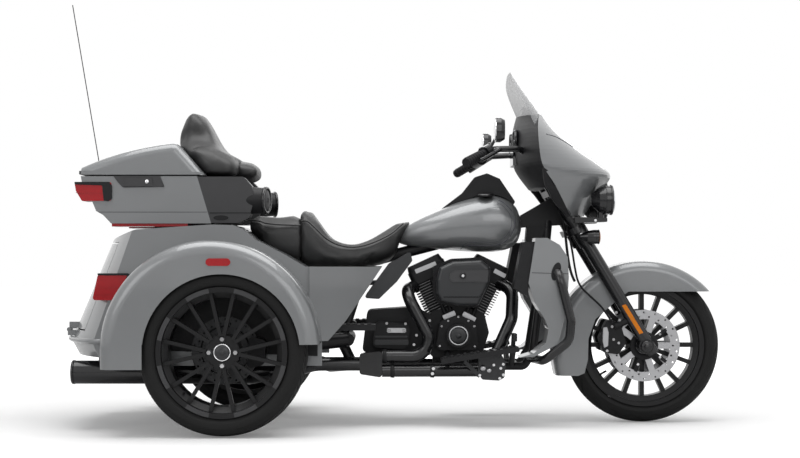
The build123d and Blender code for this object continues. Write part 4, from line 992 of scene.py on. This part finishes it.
wellArc = [roundPoint(well["x"], well["z"], well["radius"], angle) for angle in range(-4, 185, 8)]
prismPiece("wellBlackSheets", [wellArc], -443.5, -440.5, "chassis", *blackMoulding, 0.0, both=True)
print("stage: wheel fittings")

# engine: rocker strips, fin edges, cylinder barrels, lifter blocks, pushrod tubes, cam cover
rockerStrips = [barOutline((106, 619), (190, 653), 9), barOutline((428, 624), (474, 600), 9)]
prismPiece("rockerStrips", rockerStrips, -86, -78, "chassis", *machinedSteel, 1.5)
engine = {"crank": (279.0, 361.0), "tilts": (-25.0, 26.0), "first": 128.0, "pitch": 11.0, "fins": 12,
          "reach": 70.0, "shortFins": 4, "shortReach": 12.0, "barrel": (118.0, 262.0), "barrelHalf": 64.0}


def finEdges(conf):
    outlines = []
    for tilt in conf["tilts"]:
        s, c = math.sin(math.radians(tilt)), math.cos(math.radians(tilt))
        for k in range(conf["fins"]):
            along = conf["first"] + k * conf["pitch"]
            x, z = conf["crank"][0] + along * s, conf["crank"][1] + along * c
            inner = conf["shortReach"] if k < conf["shortFins"] else conf["reach"]
            low, high = (-conf["reach"], inner) if tilt < 0 else (-inner, conf["reach"])
            outlines.append(barOutline((x + low * c, z - low * s), (x + high * c, z - high * s), 1.0))
    prismPiece("finEdges", outlines, -79.2, -77.6, "chassis", *edgeMetal, 0.0)
    prismPiece("finEdgesLeft", outlines, 77.6, 79.2, "chassis", *edgeMetal, 0.0)


finEdges(engine)
barrels = []
for tilt in engine["tilts"]:
    s, c = math.sin(math.radians(tilt)), math.cos(math.radians(tilt))
    ends = [(engine["crank"][0] + along * s, engine["crank"][1] + along * c)
            for along in engine["barrel"]]
    barrels.append(barOutline(*ends, engine["barrelHalf"]))
prismPiece("cylinderBarrels", barrels, -60, 60, "chassis", *castMetal, 2.0)
prismPiece("neckCover", [[(560, 742), (640, 738), (652, 806), (566, 806)]], -38, 38, "chassis",
           *blackMoulding, 3.0)
lifterBlocks = [barOutline((219, 431), (268, 452), 10), barOutline((300, 449), (350, 422), 10)]
prismPiece("lifterBlocks", lifterBlocks, -102, -82, "chassis", *machinedSteel, 2.0)
pushrods = [((228, 448), (172, 590)), ((252, 458), (198, 600)), ((316, 452), (366, 600)),
            ((340, 440), (398, 588))]
for number, (start, end) in enumerate(pushrods):
    tubePiece("pushrod%d" % number, metres([(start[0], -92, start[1]), (end[0], -90, end[1])]), 0.008,
              "chassis", *castMetal, 2)
camFace = (0.279, -0.160, 0.361)
hoopPiece("camRing", [(0.040, 0.034, 0.004, camFace, toRight)], "chassis", *machinedSteel)
turnedPieces("camCap", [(button(0.034, 0.006), camFace, toRight),
                        (button(0.012, 0.009), camFace, toRight)], "chassis", *greyMetal)
camBolts = [(212, -128, 398), (344, -128, 398), (279, -128, 436), (204, -128, 318), (346, -128, 316),
            (238, -128, 420), (320, -128, 420)]
boltPiece("camBolts", metres(camBolts), toRight, 0.009, 0.004, "chassis")

# transmission side cover
prismPiece("coverBar", [slab(-10, 372, 67, 391)], -134, -126, "chassis", *machinedSteel, 3.0)
prismPiece("coverRibs", [slab(-60, 352, 74, 360), slab(-60, 322, 78, 344)], -133, -126, "chassis",
           *greyMetal, 3.0)
coverBolts = [(-11, -128, 410), (65, -128, 408), (-2, -134, 381), (59, -134, 381), (110, -96, 360),
              (100, -96, 322), (164, -96, 420)]
boltPiece("coverBolts", metres(coverBolts), toRight, 0.012, 0.006, "chassis")

# air cleaner: raised panel, bolt, groove, backplate
prismPiece("cleanerPanel", [[(250, 577), (394, 577), (398, 628), (262, 628), (240, 612), (238, 590)]],
           -219, -210, "chassis", *panelMetal, 3.0)
hoopPiece("cleanerRing", [(0.013, 0.009, 0.005, (0.294, -0.218, 0.604), toRight)], "chassis",
          "black_metal", "blackPaint")
boltPiece("cleanerBolt", metres([(294, -218, 604)]), toRight, 0.012, 0.006, "chassis")
prismPiece("cleanerGroove", [[(216, 516), (368, 516), (376, 530), (372, 532), (362, 521), (216, 521)]],
           -215.5, -206, "chassis", *castMetal, 0.8)
prismPiece("cleanerPlate", [[(176, 640), (250, 672), (376, 678), (416, 640), (412, 578), (364, 474),
                             (270, 474), (196, 492), (176, 526)]], -130, -116, "chassis", *castMetal, 3.0)

# exhaust: clamps, tips, bolts
pipeClamp, mufflerClamp = (0.0285, 0.0245, 0.016), (0.049, 0.0455, 0.014)
clampPlaces = [(pipeClamp, (-0.012, -0.192, 0.280)), (pipeClamp, (0.180, -0.1815, 0.222)),
               (pipeClamp, (0.020, -0.1895, 0.222)), (mufflerClamp, (-0.560, -0.330, 0.226)),
               (mufflerClamp, (-0.560, 0.330, 0.226))]
clampRows = [(*clamp, place, (-1, 0, 0)) for clamp, place in clampPlaces]
hoopPiece("exhaustClamps", clampRows, "chassis", "black_paint", "satinBlack")
tipRows = [(0.0475, 0.0400, 0.012, (-1.238, y, 0.226), (-1, 0, 0)) for y in (-0.330, 0.330)]
hoopPiece("exhaustTips", tipRows, "chassis", *paintedBlack)
boltPiece("clampBolts", metres([(176, -209, 232), (172, -209, 212)]), toRight, 0.014, 0.008, "chassis")

# footboards: ribs, control plate below
board = {"ribs": 11, "first": 222, "pitch": 26, "start": (202, 276), "slope": 50 / 308}
boardRibs = []
for number in range(board["ribs"]):
    x = board["first"] + number * board["pitch"]
    z = board["start"][1] + (x - board["start"][0]) * board["slope"]
    boardRibs.append([(x - 7, z - 2), (x + 7, z), (x + 6, z + 5), (x - 6, z + 3)])
prismPiece("boardRibs", boardRibs, -322, -220, "chassis", *softRubber, 1.0, both=True)
prismPiece("passengerRibs", [slab(-228 + 28 * k, 411, -212 + 28 * k, 415) for k in range(6)], -292, -212,
           "chassis", *softRubber, 1.0, both=True)
prismPiece("controlPlate", [[(356, 284), (452, 284), (466, 252), (460, 196), (438, 184), (372, 188),
                             (352, 214), (356, 250)]], -222, -213, "chassis", *greyMetal, 2.0)
prismPiece("controlArm", [barOutline((300, 262), (362, 200), 8)], -221, -214, "chassis", *greyMetal, 2.0)
plateBolts = [(374, -222, 235), (417, -222, 247), (455, -222, 250), (445, -222, 234), (455, -222, 208),
              (441, -222, 194), (361, -222, 206)]
boltPiece("plateBolts", metres(plateBolts), toRight, 0.012, 0.006, "chassis")
turnedPieces("platePivot", [(button(0.012, 0.010), (0.374, -0.222, 0.235), toRight),
                            (button(0.010, 0.008), (0.398, -0.222, 0.226), toRight)], "chassis",
             *machinedSteel, 24)
print("stage: engine fittings")

# top case: latch, lip, seam, lamp covers
prismPiece("caseLatch", [[(-1093, 1000), (-908, 1000), (-890, 956), (-1054, 954), (-1072, 972)]], -303,
           -297, "chassis", *greyMoulding, 1.5)
prismPiece("latchHandle", [[(-1050, 993), (-938, 993), (-934, 958), (-1048, 958)]], -306, -302, "chassis",
           *greyMoulding, 1.2)
turnedPieces("latchLock", [(button(0.008, 0.004), (-0.959, -0.306, 0.977), toRight)], "chassis",
             *brightSteel, 24)
prismPiece("lidLip", [[(-1227, 1005), (-731, 1005), (-741, 1015), (-1100, 1018), (-1227, 1020)]], -302,
           -296, "topcase_lid", *paintedSilver, 1.6, both=True)
prismPiece("lidRearLip", [slab(-1228, 1005, -1220, 1020)], -302, 302, "topcase_lid", *paintedSilver, 1.6)
prismPiece("caseSeam", [slab(-1152, 856, -722, 857.6)], -298.6, -296, "chassis", *blackMoulding, 0.0,
           both=True)
prismPiece("lampSurround", [[(-1246, 976), (-1108, 976), (-1098, 962), (-1098, 908), (-1112, 900),
                             (-1130, 902), (-1136, 962), (-1244, 966)]], -308, -296, "chassis",
           *blackMoulding, 1.5, both=True)
prismPiece("lampDivide", [slab(-1240, 932, -1136, 934)], -305.4, -300, "chassis", *redGlass, 0.0,
           both=True)

# speaker pods: band, vent, speaker rims and grilles
prismPiece("podBand", [slab(-712, 852, -548, 855)], -299.2, -296, "chassis", *blackMoulding, 0.0,
           both=True)
prismPiece("podVent", [oval(-667, 834, 30, 10)], -299.6, -295, "chassis", *blackMoulding, 0.8, both=True)
toe = math.radians(14.0)
speakerAxis = (math.cos(toe), -math.sin(toe), 0)
speakerFace = (-0.4935, -0.2603, 0.904)
hoopPiece("speakerRims", bothSides([(0.0555, 0.0440, 0.010, speakerFace, speakerAxis)]), "chassis",
          *paintedBlack)
grille = [(0.045, 0.0), (0.044, 0.005), (0.034, 0.009), (0.016, 0.011), (0.0005, 0.0112)]
turnedPieces("speakerGrilles", bothSides([(grille, speakerFace, speakerAxis)]), "chassis", *greyMoulding)
for number in range(4):
    outer = 0.010 + 0.009 * number
    ring = (outer, outer - 0.002, 0.012 - 0.0015 * number, speakerFace, speakerAxis)
    hoopPiece("grilleRing%d" % number, bothSides([ring]), "chassis", *blackMoulding)

# rear body: lamp frames, bumper lip, lock on the trunk door
prismPiece("tailFrames", [[(-1012, 612), (-1002, 612), (-1046, 508), (-1062, 508)],
                          [(-1130, 616), (-1010, 616), (-1010, 608), (-1128, 608)]], -455, -440,
           "chassis", *blackMoulding, 1.5, both=True)
prismPiece("tailRibs", [slab(-1128, 560, -1030, 563), slab(-1136, 534, -1040, 537)], -453.4, -446,
           "chassis", *redGlass, 0.0, both=True)
lipRows = [(-1060, -441), (-1110, -441), (-1150, -438), (-1190, -392), (-1240, -300), (-1278, -190),
           (-1296, -90), (-1301, 0)]
lipLine = [(x, y, 352) for x, y in lipRows] + [(x, -y, 352) for x, y in reversed(lipRows[:-1])]
tubePiece("bumperLip", metres(lipLine), 0.011, "chassis", *paintedSilver)
turnedPieces("trunkLock", [(button(0.011, 0.005), (-1.1490, 0.0, 0.695), (-0.92, 0, 0.39))],
             "trunk_hatch", *brightSteel, 24)

# lower fairings: seam and slot; tank: caps; left engine cover: round lid and bolts
prismPiece("lowerSeam", [[(560, 616), (704, 612), (704, 614), (560, 618)]], -330.8, -326, "chassis",
           *blackMoulding, 0.0, both=True)
prismPiece("guardSlot", [oval(656, 622, 18, 36, 8)], -331.4, -326, "chassis", *blackMoulding, 0.8,
           both=True)
turnedPieces("tankCaps", [(button(0.034, 0.010), (0.392, y, 0.930), (0, 0.18 if y > 0 else -0.18, 1))
                          for y in (-0.088, 0.088)], "chassis", *paintedBlack)
roundLid = (0.040, 0.172, 0.352)
hoopPiece("derbyRing", [(0.082, 0.072, 0.006, roundLid, (0, 1, 0))], "chassis", *edgeMetal)
turnedPieces("derbyLid", [(button(0.073, 0.010), roundLid, (0, 1, 0))], "chassis", *greyMetal)
leftBolts = []
for angle in range(30, 390, 60):
    x, z = roundPoint(40, 352, 77, angle)
    leftBolts.append((x, 176, z))
leftBolts += [(-40, 172, 300), (-30, 172, 410), (180, 172, 420), (330, 172, 424), (372, 172, 361),
              (330, 172, 300), (180, 172, 292)]
boltPiece("leftBolts", metres(leftBolts), (0, 1, 0), 0.009, 0.005, "chassis")
print("stage: body fittings")
